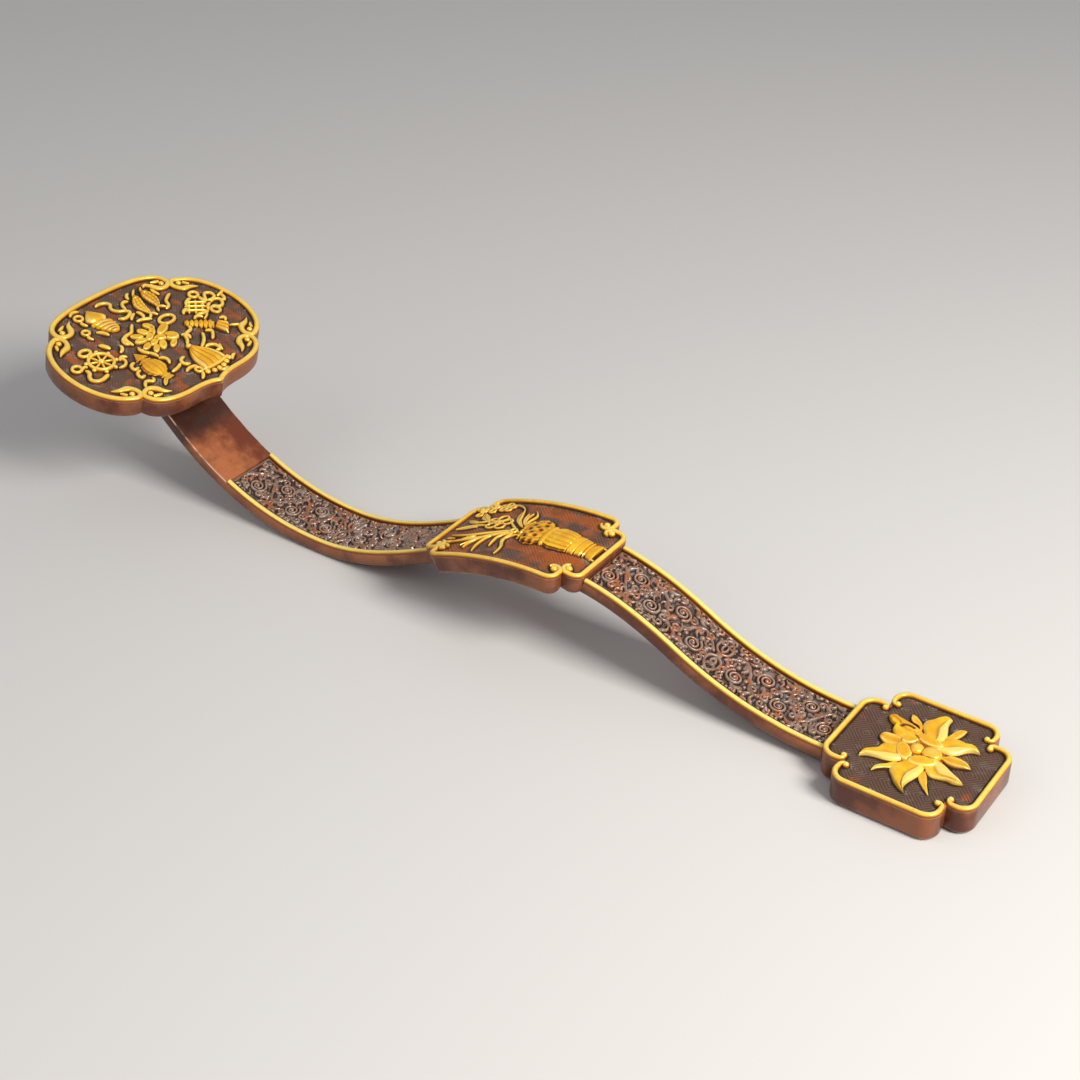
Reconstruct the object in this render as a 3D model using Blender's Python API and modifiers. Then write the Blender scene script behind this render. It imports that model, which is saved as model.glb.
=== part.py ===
"""A ruyi scepter of lacquered wood with gilt ornament.

A flat shaft is bent into a double curve: it leaves the flower board at the tail, rises to an arch
under the saddle board, falls to a dip that touches the table, and climbs to the cloud-shaped head.
Every piece is first made flat, in its own board's plane (u towards the tail, y across, h up from
the surface), and is then laid on the shaft's curve, the tilted head or the level tail board.
World frame in metres: +X towards the tail, +Z up, origin on the table midway along the scepter.
Left and right are seen from the tail, so that right is +Y.
"""

import math

import bmesh
import bpy
import numpy as np
from mathutils import Matrix

MM = 0.001

# Glued and pegged pieces keep this gap to their seats
SEAT_GAP = 0.3 * MM

# The shaft is one flat bar
SHAFT_WIDTH = 28.1 * MM
SHAFT_THICKNESS = 5.6 * MM
SHAFT_ARRIS = 0.7 * MM

# Side view of the shaft's upper face, from the tail joint towards the head
TAIL_HEIGHT = 8.0 * MM
TAIL_TO_RISE = 62.0 * MM
RISE_HEIGHT = 24.1 * MM
RISE_SLOPE = 0.546
RISE_TO_CREST = 50.0 * MM
CREST_HEIGHT = 39.0 * MM
CREST_TO_FALL = 60.0 * MM
FALL_HEIGHT = 23.9 * MM
FALL_SLOPE = -0.50
FALL_TO_DIP = 58.0 * MM
DIP_TO_NECK = 75.0 * MM
NECK_HEIGHT = 35.0 * MM
NECK_SLOPE = 0.914
NECK_TO_PAD = 31.0 * MM
PAD_HEIGHT = 57.6 * MM

# The pad under the head, the tail tenon and the plain stretch below the head
PAD_LENGTH = 17.0 * MM
PAD_CORNER = 8.0 * MM
TENON_LENGTH = 14.0 * MM
TENON_WIDTH = 20.0 * MM
TENON_THICKNESS = 4.4 * MM
PLAIN_STRETCH = 57.0 * MM

# Carved panels let into the shaft, and the gilt fillets along its edges
FILLET_WIDTH = 1.7 * MM
FILLET_HEIGHT = 0.9 * MM
FILLET_INSET = 0.1 * MM
PANEL_THICKNESS = 1.0 * MM
PANEL_LAND = 1.9 * MM

# Gilt rims round the three boards, and the inlaid grounds inside them
RIM_WIDTH = 2.0 * MM
RIM_HEIGHT = 1.1 * MM
GROUND_LAND = 1.5 * MM
GROUND_THICKNESS = 1.0 * MM
CURL_RADIUS = 1.35 * MM
CURL_LEAD = 1.2 * MM
CURL_TURN = math.radians(205.0)

# Head board, a cloud outline tilted up towards its far edge
HEAD_TILT = math.radians(14.4)
HEAD_THICKNESS = 8.5 * MM
HEAD_ARRIS = 1.0 * MM
HEAD_BEHIND_PAD = 7.7 * MM
HEAD_POINT_REACH = 38.3 * MM
HEAD_FLANK_REACH = 35.4 * MM
HEAD_FLANK_HALF = 13.0 * MM
HEAD_FAR_REACH = 37.0 * MM
HEAD_HALF_WIDTH = 48.5 * MM
HEAD_NOTCH_U = 25.2 * MM
HEAD_NOTCH_Y = 33.0 * MM
HEAD_HOOK = 5.0 * MM

# Saddle board over the arch
SADDLE_LENGTH = 71.4 * MM
SADDLE_WIDTH = 47.8 * MM
SADDLE_END_LOBE = 6.9 * MM
SADDLE_SIDE_LOBE = 6.3 * MM
SADDLE_SHOULDER = 4.5 * MM
SADDLE_CENTRE = 136.3 * MM
SADDLE_RISE = 2.3 * MM
SADDLE_REBATE = 1.6 * MM
SADDLE_ARRIS = 0.8 * MM
NOTCH_UNDERCUT = 0.4 * MM

# Tail board
TAIL_LENGTH = 57.6 * MM
TAIL_WIDTH = 57.8 * MM
TAIL_THICKNESS = 10.5 * MM
TAIL_END_LOBE = 8.6 * MM
TAIL_SIDE_LOBE = 9.8 * MM
TAIL_SHOULDER = 6.1 * MM
TAIL_ARRIS = 1.0 * MM

# Bamboo pegs, driven from above under the inlaid grounds
HEAD_PEG_RADIUS = 2.4 * MM
HEAD_PEG_BITE = 4.0 * MM
HEAD_PEG_PLACES = (4.8 * MM, 12.0 * MM)
SADDLE_PEG_RADIUS = 2.0 * MM
SADDLE_PEG_BITE = 2.6 * MM
SADDLE_PEG_INSET = 13.3 * MM
TAIL_PEG_RADIUS = 2.0 * MM
TAIL_PEG_BITE = 1.6 * MM
TAIL_PEG_PLACE = 8.0 * MM

# Gilt reliefs: heights over the ground and sizes across it
BRANCH_WIDTH = 1.3 * MM
LOW_RELIEF = 0.8 * MM
HIGH_RELIEF = 1.5 * MM
LOTUS_RADIUS = 8.8 * MM
WHEEL_RADIUS = 6.3 * MM
WHEEL_RIM = 1.4 * MM
WHEEL_HUB = 1.3 * MM
SPOKE_WIDTH = 0.75 * MM
KNOT_LOOP = 3.9 * MM
KNOT_BAND = 1.25 * MM
CONCH_LENGTH = 15.5 * MM
CONCH_RADIUS = 5.0 * MM
FISH_LENGTH = 14.0 * MM
FISH_RADIUS = 2.3 * MM
BANNER_LENGTH = 20.0 * MM
BANNER_RADIUS = 3.1 * MM
UMBRELLA_LENGTH = 15.5 * MM
UMBRELLA_RADIUS = 8.4 * MM
URN_LENGTH = 19.5 * MM
URN_RADIUS = 5.6 * MM
VASE_LENGTH = 21.5 * MM
VASE_RADIUS = 6.6 * MM
FLOWER_BOWL_LENGTH = 7.6 * MM
FLOWER_BOWL_RADIUS = 8.6 * MM
BLOSSOM_RADIUS = 3.4 * MM
BUD_RADIUS = 2.0 * MM
FLOWER_TIP = 21.0 * MM
FLOWER_VALLEY = 10.0 * MM
FLOWER_HEART = 7.0 * MM
FLOWER_BOSS = 2.7 * MM

# Finishes: colour, roughness and metallic value
LACQUER = ((0.19, 0.045, 0.022, 1.0), 0.34, 0.0)
CARVED_LACQUER = ((0.085, 0.032, 0.022, 1.0), 0.45, 0.0)
GROUND_LACQUER = ((0.075, 0.045, 0.035, 1.0), 0.55, 0.0)
GILT = ((0.83, 0.50, 0.045, 1.0), 0.38, 0.35)
BAMBOO = ((0.45, 0.30, 0.14, 1.0), 0.60, 0.0)

# How finely curved shapes are cut
BEND_STEP = 6.0 * MM
ROUND_STEPS = 12
TURN_STEPS = 20


def fresh_collection(name):
    """An empty scene with one collection for the parts."""
    for thing in list(bpy.data.objects):
        bpy.data.objects.remove(thing, do_unlink=True)
    parts = bpy.data.collections.new(name)
    bpy.context.scene.collection.children.link(parts)
    return parts


PARTS = fresh_collection("ruyi_scepter")


def finish(name, look):
    """A Principled material with the given colour, roughness and metallic value."""
    colour, roughness, metallic = look
    material = bpy.data.materials.new(name)
    material.use_nodes = True
    shader = material.node_tree.nodes["Principled BSDF"]
    shader.inputs["Base Color"].default_value = colour
    shader.inputs["Roughness"].default_value = roughness
    shader.inputs["Metallic"].default_value = metallic
    material.diffuse_color = colour
    return material


FINISHES = {
    "lacquer": finish("lacquer", LACQUER),
    "carved": finish("carved_lacquer", CARVED_LACQUER),
    "ground": finish("ground_lacquer", GROUND_LACQUER),
    "gilt": finish("gilt", GILT),
    "bamboo": finish("bamboo", BAMBOO),
}


# Where flat pieces go

def knots():
    """Distance from the tail joint, height and slope of the shaft's upper face at its knots."""
    steps = (0.0, TAIL_TO_RISE, RISE_TO_CREST, CREST_TO_FALL, FALL_TO_DIP, DIP_TO_NECK, NECK_TO_PAD)
    heights = (TAIL_HEIGHT, RISE_HEIGHT, CREST_HEIGHT, FALL_HEIGHT, SHAFT_THICKNESS, NECK_HEIGHT,
               PAD_HEIGHT)
    slopes = (0.0, RISE_SLOPE, 0.0, FALL_SLOPE, 0.0, NECK_SLOPE, math.tan(HEAD_TILT))
    return np.cumsum(steps), np.array(heights), np.array(slopes)


def shaft_line(distance):
    """Height and slope of the shaft's upper face: cubic arcs between the knots, straight beyond."""
    at, height, slope = knots()
    inside = np.clip(distance, at[0], at[-1])
    span = np.clip(np.searchsorted(at, inside, side="right") - 1, 0, len(at) - 2)
    width = at[span + 1] - at[span]
    t = (inside - at[span]) / width
    rise = (height[span] * (2 * t**3 - 3 * t**2 + 1) + height[span + 1] * (3 * t**2 - 2 * t**3)
            + width * slope[span] * (t**3 - 2 * t**2 + t) + width * slope[span + 1] * (t**3 - t**2))
    grade = ((height[span + 1] - height[span]) * (6 * t - 6 * t**2) / width
             + slope[span] * (3 * t**2 - 4 * t + 1) + slope[span + 1] * (3 * t**2 - 2 * t))
    return rise + (distance - inside) * grade, grade


PAD_START = float(knots()[0][-1])
HEAD_FAR = (PAD_START + (HEAD_FAR_REACH - HEAD_BEHIND_PAD) * math.cos(HEAD_TILT)
            - (SEAT_GAP + HEAD_ARRIS) * math.sin(HEAD_TILT))
TAIL_CENTRE = SEAT_GAP + TAIL_LENGTH / 2
TAIL_JOINT_X = (HEAD_FAR - SEAT_GAP - TAIL_LENGTH) / 2


def on_shaft(flat):
    """Lay (u, y, h) points on the shaft, u = 0 at the tail joint and negative towards the head."""
    height, grade = shaft_line(-flat[:, 0])
    length = np.sqrt(1 + grade**2)
    x = TAIL_JOINT_X + flat[:, 0] + flat[:, 2] * grade / length
    return np.stack([x, flat[:, 1], height + flat[:, 2] / length], axis=1)


def on_saddle(flat):
    """Lay points on the arch, measured from the middle of the saddle board's upper face."""
    return on_shaft(flat - np.array([SADDLE_CENTRE, 0.0, -SADDLE_RISE]))


def on_head(flat):
    """Lay points on the tilted head, measured from the middle of the board's upper face."""
    pad_height, _ = shaft_line(np.array([PAD_START]))
    along = flat[:, 0] + HEAD_BEHIND_PAD
    above = flat[:, 2] + HEAD_THICKNESS + SEAT_GAP
    cosine, sine = math.cos(HEAD_TILT), math.sin(HEAD_TILT)
    x = TAIL_JOINT_X - PAD_START + along * cosine + above * sine
    return np.stack([x, flat[:, 1], pad_height[0] - along * sine + above * cosine], axis=1)


def on_tail(flat):
    """Lay points on the level tail board, measured from the middle of its upper face."""
    return flat + np.array([TAIL_JOINT_X + TAIL_CENTRE, 0.0, TAIL_THICKNESS])


# Making and shaping flat pieces

def add_object(name, data):
    """Put a mesh or a curve into the collection as an object."""
    thing = bpy.data.objects.new(name, data)
    PARTS.objects.link(thing)
    return thing


def made_solid(thing, weld=1e-6):
    """A mesh object in place of a curve or of an object with modifiers, its caps welded."""
    bpy.context.view_layer.update()
    seen = thing.evaluated_get(bpy.context.evaluated_depsgraph_get())
    mesh = bpy.data.meshes.new_from_object(seen)
    name = thing.name
    old = thing.data
    bpy.data.objects.remove(thing, do_unlink=True)
    if isinstance(old, bpy.types.Curve):
        bpy.data.curves.remove(old)
    form = bmesh.new()
    form.from_mesh(mesh)
    bmesh.ops.remove_doubles(form, verts=form.verts, dist=weld)
    bmesh.ops.recalc_face_normals(form, faces=form.faces)
    form.to_mesh(mesh)
    form.free()
    mesh.materials.clear()
    mesh.name = name
    return add_object(name, mesh)


def poly_spline(curve, points, closed, radii=None):
    """Add a straight-segment spline through 2D points."""
    spline = curve.splines.new("POLY")
    spline.points.add(len(points) - 1)
    for index, point in enumerate(points):
        spline.points[index].co = (point[0], point[1], 0.0, 1.0)
        if radii is not None:
            spline.points[index].radius = radii[index]
    spline.use_cyclic_u = closed


def plate(name, outlines, low, high):
    """A flat plate from h = low to h = high: the first outline is its edge, the others holes."""
    curve = bpy.data.curves.new(name, "CURVE")
    curve.dimensions = "2D"
    curve.fill_mode = "BOTH"
    curve.extrude = (high - low) / 2
    for outline in outlines:
        poly_spline(curve, outline, True)
    solid = made_solid(add_object(name, curve))
    solid.data.transform(Matrix.Translation((0.0, 0.0, (high + low) / 2)))
    return solid


def block(name, u_low, u_high, half_width, low, high):
    """A rectangular plate, centred across the scepter."""
    corners = ((u_low, -half_width), (u_high, -half_width), (u_high, half_width),
               (u_low, half_width))
    return plate(name, [corners], low, high)


def dowel(name, u, radius, low, high):
    """A round peg on the middle line, or a cutter for its hole, standing along h."""
    form = bmesh.new()
    bmesh.ops.create_cone(form, cap_ends=True, segments=ROUND_STEPS, radius1=radius,
                          radius2=radius, depth=high - low,
                          matrix=Matrix.Translation((u, 0.0, (high + low) / 2)))
    mesh = bpy.data.meshes.new(name)
    form.to_mesh(mesh)
    form.free()
    return add_object(name, mesh)


def combine(body, others, operation="DIFFERENCE"):
    """Cut the other solids from a piece, or join them to it, and remove them."""
    for other in others:
        step = body.modifiers.new(other.name, "BOOLEAN")
        step.operation = operation
        step.solver = "EXACT"
        step.object = other
    solid = made_solid(body)
    for other in others:
        bpy.data.objects.remove(other, do_unlink=True)
    return solid


def round_edges(solid, radius, chosen, segments=2):
    """Round the sharp edges whose middle point passes the test."""
    form = bmesh.new()
    form.from_mesh(solid.data)
    bmesh.ops.dissolve_limit(form, angle_limit=math.radians(1.0), verts=form.verts,
                             edges=form.edges, delimit={"NORMAL"})
    picked = [edge for edge in form.edges
              if len(edge.link_faces) == 2 and edge.calc_face_angle() > math.radians(50.0)
              and chosen((edge.verts[0].co + edge.verts[1].co) / 2)]
    bmesh.ops.bevel(form, geom=picked, offset=radius, segments=segments, profile=0.5,
                    affect="EDGES", clamp_overlap=True)
    bmesh.ops.triangulate(form, faces=form.faces)
    form.to_mesh(solid.data)
    form.free()
    return solid


def slice_at(solid, places):
    """Cut a flat piece across at the given places along u, so that it can be bent."""
    form = bmesh.new()
    form.from_mesh(solid.data)
    bmesh.ops.dissolve_limit(form, angle_limit=math.radians(0.5), verts=form.verts,
                             edges=form.edges, delimit={"NORMAL"})
    for place in places:
        bmesh.ops.bisect_plane(form, geom=form.verts[:] + form.edges[:] + form.faces[:],
                               dist=1e-6, plane_co=(place, 0.0, 0.0), plane_no=(1.0, 0.0, 0.0))
    form.to_mesh(solid.data)
    form.free()
    return solid


def sliced(solid):
    """Cut a flat piece across at even steps."""
    along = [vertex.co.x for vertex in solid.data.vertices]
    steps = range(math.floor(min(along) / BEND_STEP) + 1, math.ceil(max(along) / BEND_STEP))
    return slice_at(solid, [index * BEND_STEP for index in steps])


def lay(solid, surface, look):
    """Put a flat piece where it belongs and give it its finish."""
    mesh = solid.data
    flat = np.empty(len(mesh.vertices) * 3)
    mesh.vertices.foreach_get("co", flat)
    mesh.vertices.foreach_set("co", surface(flat.reshape(-1, 3)).ravel())
    mesh.materials.append(FINISHES[look])
    mesh.update()
    mesh.shade_smooth()
    mesh.set_sharp_from_angle(angle=math.radians(35.0))
    return solid


# Outlines

def arc(centre, radius, start, turn, steps):
    """Points along an arc, from an angle through a turn."""
    angles = start + turn * np.linspace(0.0, 1.0, steps + 1)
    return np.stack([centre[0] + radius * np.cos(angles), centre[1] + radius * np.sin(angles)], 1)


def bow(start, leave, end, arrive, pull, steps):
    """A cubic arc without its last point.

    Leave and arrive are the directions out of its two ends, and pull holds the lengths of its two
    handles as shares of the chord.
    """
    start, end = np.asarray(start, dtype=float), np.asarray(end, dtype=float)
    leave, arrive = np.asarray(leave, dtype=float), np.asarray(arrive, dtype=float)
    chord = np.linalg.norm(end - start)
    first = start + pull[0] * chord * leave / np.linalg.norm(leave)
    second = end + pull[1] * chord * arrive / np.linalg.norm(arrive)
    t = np.linspace(0.0, 1.0, steps, endpoint=False)[:, None]
    return (1 - t)**3 * start + 3 * (1 - t)**2 * t * first + 3 * (1 - t) * t**2 * second + t**3 * end


def turned(points, angle):
    """Points turned about the centre."""
    cosine, sine = math.cos(angle), math.sin(angle)
    return np.asarray(points) @ np.array([[cosine, sine], [-sine, cosine]])


def inset(points, distance):
    """A closed counter-clockwise outline moved inwards by a distance."""
    points = np.asarray(points, dtype=float)
    edge = np.roll(points, -1, axis=0) - points
    edge /= np.linalg.norm(edge, axis=1)[:, None]
    inward = np.stack([-edge[:, 1], edge[:, 0]], axis=1)
    before = np.roll(inward, 1, axis=0)
    share = 1 + np.sum(inward * before, axis=1)
    return points + distance * (inward + before) / np.maximum(share, 0.35)[:, None]


def lobe(reach, half, radius, steps=4):
    """One round-shouldered lobe that points along +u, counter-clockwise."""
    lower = arc((reach - radius, radius - half), radius, -math.pi / 2, math.pi / 2, steps)
    upper = arc((reach - radius, half - radius), radius, 0.0, math.pi / 2, steps)
    return np.concatenate([lower, upper])


def cartouche(length, width, notch_u, notch_y, radius):
    """Outline of a cartouche: four lobes, towards the tail, right, head and left, with a slightly
    undercut notch between each two."""
    long_lobe = lobe(length / 2, notch_y, radius)
    side_lobe = lobe(width / 2, notch_u, radius)
    deep_u, deep_y = notch_u - NOTCH_UNDERCUT, notch_y - NOTCH_UNDERCUT
    corners = ((deep_u, deep_y), (-deep_u, deep_y), (-deep_u, -deep_y), (deep_u, -deep_y))
    sides = [turned((long_lobe, side_lobe)[index % 2], index * math.pi / 2) for index in range(4)]
    return np.concatenate([part for side, corner in zip(sides, corners)
                           for part in (side, np.array([corner]))])


def cartouche_rims(length, width, notch_u, notch_y, radius):
    """Centre lines of a cartouche's four rim strips, each ending in two small curls."""
    middle = RIM_WIDTH / 2
    paths = []
    for index in range(4):
        reach, half, notch = ((length / 2, notch_y, notch_u), (width / 2, notch_u, notch_y))[index % 2]
        crown = lobe(reach - middle, half - middle, radius - middle)
        depth = half - middle - CURL_RADIUS
        curl = arc((notch + CURL_LEAD, depth), CURL_RADIUS, math.pi / 2, CURL_TURN, 6)
        other = curl[::-1] * np.array([1.0, -1.0])
        paths.append(turned(np.concatenate([other, crown, curl]), index * math.pi / 2))
    return paths


HEAD_NOTCH = np.array([HEAD_NOTCH_U, HEAD_NOTCH_Y])
OVER_U = np.array([-1.0, 1.0])
OVER_Y = np.array([1.0, -1.0])


def head_lobes(steps=6):
    """The right half of the head's outline in its three lobes, from the point facing the shaft."""
    point = (HEAD_POINT_REACH, 0.0)
    flank = (HEAD_FLANK_REACH, HEAD_FLANK_HALF)
    crown = (0.0, HEAD_HALF_WIDTH)
    far_notch = HEAD_NOTCH * OVER_U
    tail_lobe = np.concatenate([
        bow(point, (-1.0, 1.1), flank, (0.0, -1.0), (0.26, 0.38), steps),
        bow(flank, (0.0, 1.0), HEAD_NOTCH, (1.0, -0.17), (0.31, 0.40), steps)])
    side_lobe = np.concatenate([
        bow(HEAD_NOTCH, (-0.12, 1.0), crown, (1.0, 0.0), (0.32, 0.41), steps),
        bow(crown, (-1.0, 0.0), far_notch, (0.07, 1.0), (0.41, 0.34), steps)])
    far_lobe = bow(far_notch, (-1.0, 0.05), (-HEAD_FAR_REACH, 0.0), (0.0, 1.0), (0.27, 0.52), steps)
    return tail_lobe, side_lobe, far_lobe


def head_outline():
    """The head's whole outline, counter-clockwise from the point that faces the shaft."""
    right = np.concatenate(head_lobes() + (np.array([[-HEAD_FAR_REACH, 0.0]]),))
    return np.concatenate([right, (right[1:-1] * OVER_Y)[::-1]])


def side_hook():
    """How a side lobe's rim curls in at the tail-side notch and runs out in a leaf."""
    tip = HEAD_NOTCH + HEAD_HOOK * np.array([-1.0, -0.3])
    return np.concatenate([
        bow(HEAD_NOTCH + HEAD_HOOK * np.array([-0.22, 0.6]), (0.0, -1.0), tip, (1.0, 0.0),
            (0.5, 0.5), 5),
        bow(tip, (-1.0, 0.0), HEAD_NOTCH + HEAD_HOOK * np.array([-2.1, 1.1]), (0.5, -0.8),
            (0.4, 0.4), 6)])


def end_hook():
    """How the tail lobe's rim curls in at the same notch."""
    tip = HEAD_NOTCH + HEAD_HOOK * np.array([-0.2, -1.15])
    return np.concatenate([
        bow(HEAD_NOTCH + HEAD_HOOK * np.array([0.6, -0.26]), (-1.0, -0.1), tip, (0.0, 1.0),
            (0.5, 0.5), 5),
        bow(tip, (0.0, -1.0), HEAD_NOTCH + HEAD_HOOK * np.array([0.85, -2.45]), (-0.8, 0.5),
            (0.4, 0.4), 6)])


def head_rims():
    """Centre lines of the head's rim strips towards the tail, right, far end and left."""
    ring = inset(head_outline(), RIM_WIDTH / 2)
    tail_count, side_count, far_count = [len(part) for part in head_lobes()]
    near_notch = tail_count
    far_notch = near_notch + side_count
    half = np.concatenate([ring[:near_notch - 1], end_hook()])
    tail = np.concatenate([(half[1:] * OVER_Y)[::-1], half])
    side = np.concatenate([side_hook()[::-1], ring[near_notch + 1:far_notch], side_hook() * OVER_U])
    far_half = np.concatenate([(end_hook() * OVER_U)[::-1],
                               ring[far_notch + 1:far_notch + far_count + 1]])
    far = np.concatenate([far_half, (far_half[:-1] * OVER_Y)[::-1]])
    return [tail, side, far, (side * OVER_Y)[::-1]]


def rosette(centre, radius, petals, depth, start=0.0, steps=4):
    """Outline of a flower with round petals: the radius falls by a share at each valley."""
    count = petals * steps
    angles = np.arange(count) / count * 2 * math.pi
    reach = radius * (1 - depth + depth * np.abs(np.sin(petals * angles / 2)))
    return np.stack([centre[0] + reach * np.cos(angles + start),
                     centre[1] + reach * np.sin(angles + start)], axis=1)


def ring_outline(centre, radius, steps=ROUND_STEPS):
    """A circle as a closed outline."""
    return arc(centre, radius, 0.0, 2 * math.pi, steps)[:-1]


# Gilt strips and turned reliefs

def strip(name, path, width, height, tip=1.0, base=SEAT_GAP):
    """A half-round strip carried along a flat path on the ground, its ends thinned to a share."""
    half = width / 2
    section = bpy.data.curves.new(name + "_section", "CURVE")
    section.dimensions = "2D"
    poly_spline(section, ((-half, 0.0), (half, 0.0), (0.75 * half, 0.7 * height), (0.0, height),
                          (-0.75 * half, 0.7 * height)), True)
    guide = add_object(name + "_section", section)
    curve = bpy.data.curves.new(name, "CURVE")
    curve.dimensions = "2D"
    curve.fill_mode = "NONE"
    curve.bevel_mode = "OBJECT"
    curve.bevel_object = guide
    curve.use_fill_caps = True
    run = np.concatenate([[0.0], np.cumsum(np.linalg.norm(np.diff(path, axis=0), axis=1))])
    from_end = np.minimum(run, run[-1] - run) / (4.0 * width)
    poly_spline(curve, path, False, tip + (1.0 - tip) * np.clip(from_end, 0.0, 1.0))
    solid = made_solid(add_object(name, curve))
    bpy.data.objects.remove(guide, do_unlink=True)
    lowest = min(vertex.co.z for vertex in solid.data.vertices)
    solid.data.transform(Matrix.Translation((0.0, 0.0, base - lowest)))
    return solid


def half_turned(name, profile, place, heading, flatten):
    """A turned form lying on the ground on its side, with the half below the ground cut off.

    The profile holds (distance along the axis, radius) pairs and starts and ends at radius 0.
    Heading is the axis' angle in the board's plane, and flatten squashes the form's height.
    """
    form = bmesh.new()
    chain = [form.verts.new((0.0, radius, along)) for along, radius in profile]
    for first, second in zip(chain, chain[1:]):
        form.edges.new((first, second))
    mesh = bpy.data.meshes.new(name)
    form.to_mesh(mesh)
    form.free()
    thing = add_object(name, mesh)
    turning = thing.modifiers.new("turning", "SCREW")
    turning.steps = TURN_STEPS
    turning.render_steps = TURN_STEPS
    turning.use_merge_vertices = True
    turning.merge_threshold = 1e-6
    solid = made_solid(thing)
    form = bmesh.new()
    form.from_mesh(solid.data)
    form.transform(Matrix.Diagonal((1.0, 1.0, flatten, 1.0)) @ Matrix.Rotation(math.pi / 2, 4, "Y"))
    cut = bmesh.ops.bisect_plane(form, geom=form.verts[:] + form.edges[:] + form.faces[:],
                                 dist=1e-6, plane_co=(0.0, 0.0, 0.0), plane_no=(0.0, 0.0, 1.0),
                                 clear_inner=True)
    rim = [item for item in cut["geom_cut"] if isinstance(item, bmesh.types.BMEdge)]
    bmesh.ops.contextual_create(form, geom=rim)
    form.transform(Matrix.Translation((place[0], place[1], SEAT_GAP))
                   @ Matrix.Rotation(heading, 4, "Z"))
    bmesh.ops.recalc_face_normals(form, faces=form.faces)
    form.to_mesh(solid.data)
    form.free()
    return solid


def raised(name, outlines, height, base=SEAT_GAP):
    """A plate with its upper edges eased, standing on the ground or on a lower tier."""
    solid = plate(name, outlines, base, base + height)
    top = base + height - 1e-6
    return round_edges(solid, 0.3 * height, lambda point: point.z > top, segments=1)


# The wooden boards and the shaft

POCKET = GROUND_THICKNESS + SEAT_GAP
CARVED_START = -(PAD_START - PLAIN_STRETCH)
SADDLE_HEAD_END = -(SADDLE_CENTRE + SADDLE_LENGTH / 2)
SADDLE_TAIL_END = -(SADDLE_CENTRE - SADDLE_LENGTH / 2)
SADDLE_THICKNESS = SADDLE_RISE + SHAFT_THICKNESS
HEAD_PEGS = [-(HEAD_BEHIND_PAD + place) for place in HEAD_PEG_PLACES]
SADDLE_PEGS = (SADDLE_PEG_INSET - SADDLE_LENGTH / 2, SADDLE_LENGTH / 2 - SADDLE_PEG_INSET)
TENON_MIDDLE = TAIL_HEIGHT - SHAFT_THICKNESS / 2
SADDLE_SIZES = (SADDLE_LENGTH, SADDLE_WIDTH, SADDLE_LENGTH / 2 - SADDLE_END_LOBE,
                SADDLE_WIDTH / 2 - SADDLE_SIDE_LOBE, SADDLE_SHOULDER)
TAIL_SIZES = (TAIL_LENGTH, TAIL_WIDTH, TAIL_LENGTH / 2 - TAIL_END_LOBE,
              TAIL_WIDTH / 2 - TAIL_SIDE_LOBE, TAIL_SHOULDER)


def lower_edge(thickness):
    """The test for edges on a board's underside."""
    return lambda point: point.z < -thickness + 1e-6


def board(name, outline, thickness, arris):
    """A board with a pocket in its upper face for the inlaid ground."""
    body = round_edges(plate(name, [outline], -thickness, 0.0), arris, lower_edge(thickness))
    pocket = plate("pocket", [inset(outline, GROUND_LAND)], -POCKET, GROUND_THICKNESS)
    return combine(body, [pocket])


def make_shaft():
    """The bar with its pad, tenon, rebate under the saddle, panel pockets and peg holes."""
    half = SHAFT_WIDTH / 2
    end = -(PAD_START + PAD_LENGTH)
    corner = arc((end + PAD_CORNER, half - PAD_CORNER), PAD_CORNER, math.pi / 2, math.pi / 2, 5)
    outline = np.concatenate([[(0.0, -half), (0.0, half)], corner, (corner * OVER_Y)[::-1]])
    shaft = plate("shaft", [outline], -SHAFT_THICKNESS, 0.0)
    shaft = round_edges(shaft, SHAFT_ARRIS, lambda point: point.z < -SHAFT_THICKNESS + 1e-6
                        and point.x < -BEND_STEP)
    tenon = block("tenon", -BEND_STEP, TENON_LENGTH, TENON_WIDTH / 2,
                  -(SHAFT_THICKNESS + TENON_THICKNESS) / 2,
                  -(SHAFT_THICKNESS - TENON_THICKNESS) / 2)
    shaft = combine(shaft, [tenon], "UNION")
    above = SHAFT_THICKNESS
    pocket_half = half - PANEL_LAND
    depth = PANEL_THICKNESS + SEAT_GAP
    cutters = [
        block("rebate", SADDLE_HEAD_END - SEAT_GAP, SADDLE_TAIL_END + SEAT_GAP, SHAFT_WIDTH,
              -SADDLE_REBATE, above),
        block("upper_pocket", CARVED_START, SADDLE_HEAD_END, pocket_half, -depth, above),
        block("lower_pocket", SADDLE_TAIL_END, SEAT_GAP, pocket_half, -depth, above)]
    cosine = math.cos(HEAD_TILT)
    for place in HEAD_PEG_PLACES:
        cutters.append(dowel("head_hole", -(PAD_START + place * cosine),
                             HEAD_PEG_RADIUS + SEAT_GAP, -HEAD_PEG_BITE, above))
    for place in SADDLE_PEGS:
        cutters.append(dowel("saddle_hole", place - SADDLE_CENTRE, SADDLE_PEG_RADIUS + SEAT_GAP,
                             -SADDLE_REBATE - SADDLE_PEG_BITE, above))
    cutters.append(dowel("tail_hole", TAIL_PEG_PLACE, TAIL_PEG_RADIUS + SEAT_GAP,
                         -2 * SHAFT_THICKNESS, above))
    return lay(sliced(combine(shaft, cutters)), on_shaft, "lacquer")


def make_head_board():
    """The cloud board, its ground pocket open above and its two peg holes going through."""
    body = board("head_board", head_outline(), HEAD_THICKNESS, HEAD_ARRIS)
    holes = [dowel("hole", place, HEAD_PEG_RADIUS + SEAT_GAP, -2 * HEAD_THICKNESS,
                   HEAD_THICKNESS) for place in HEAD_PEGS]
    return lay(combine(body, holes), on_head, "lacquer")


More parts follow.
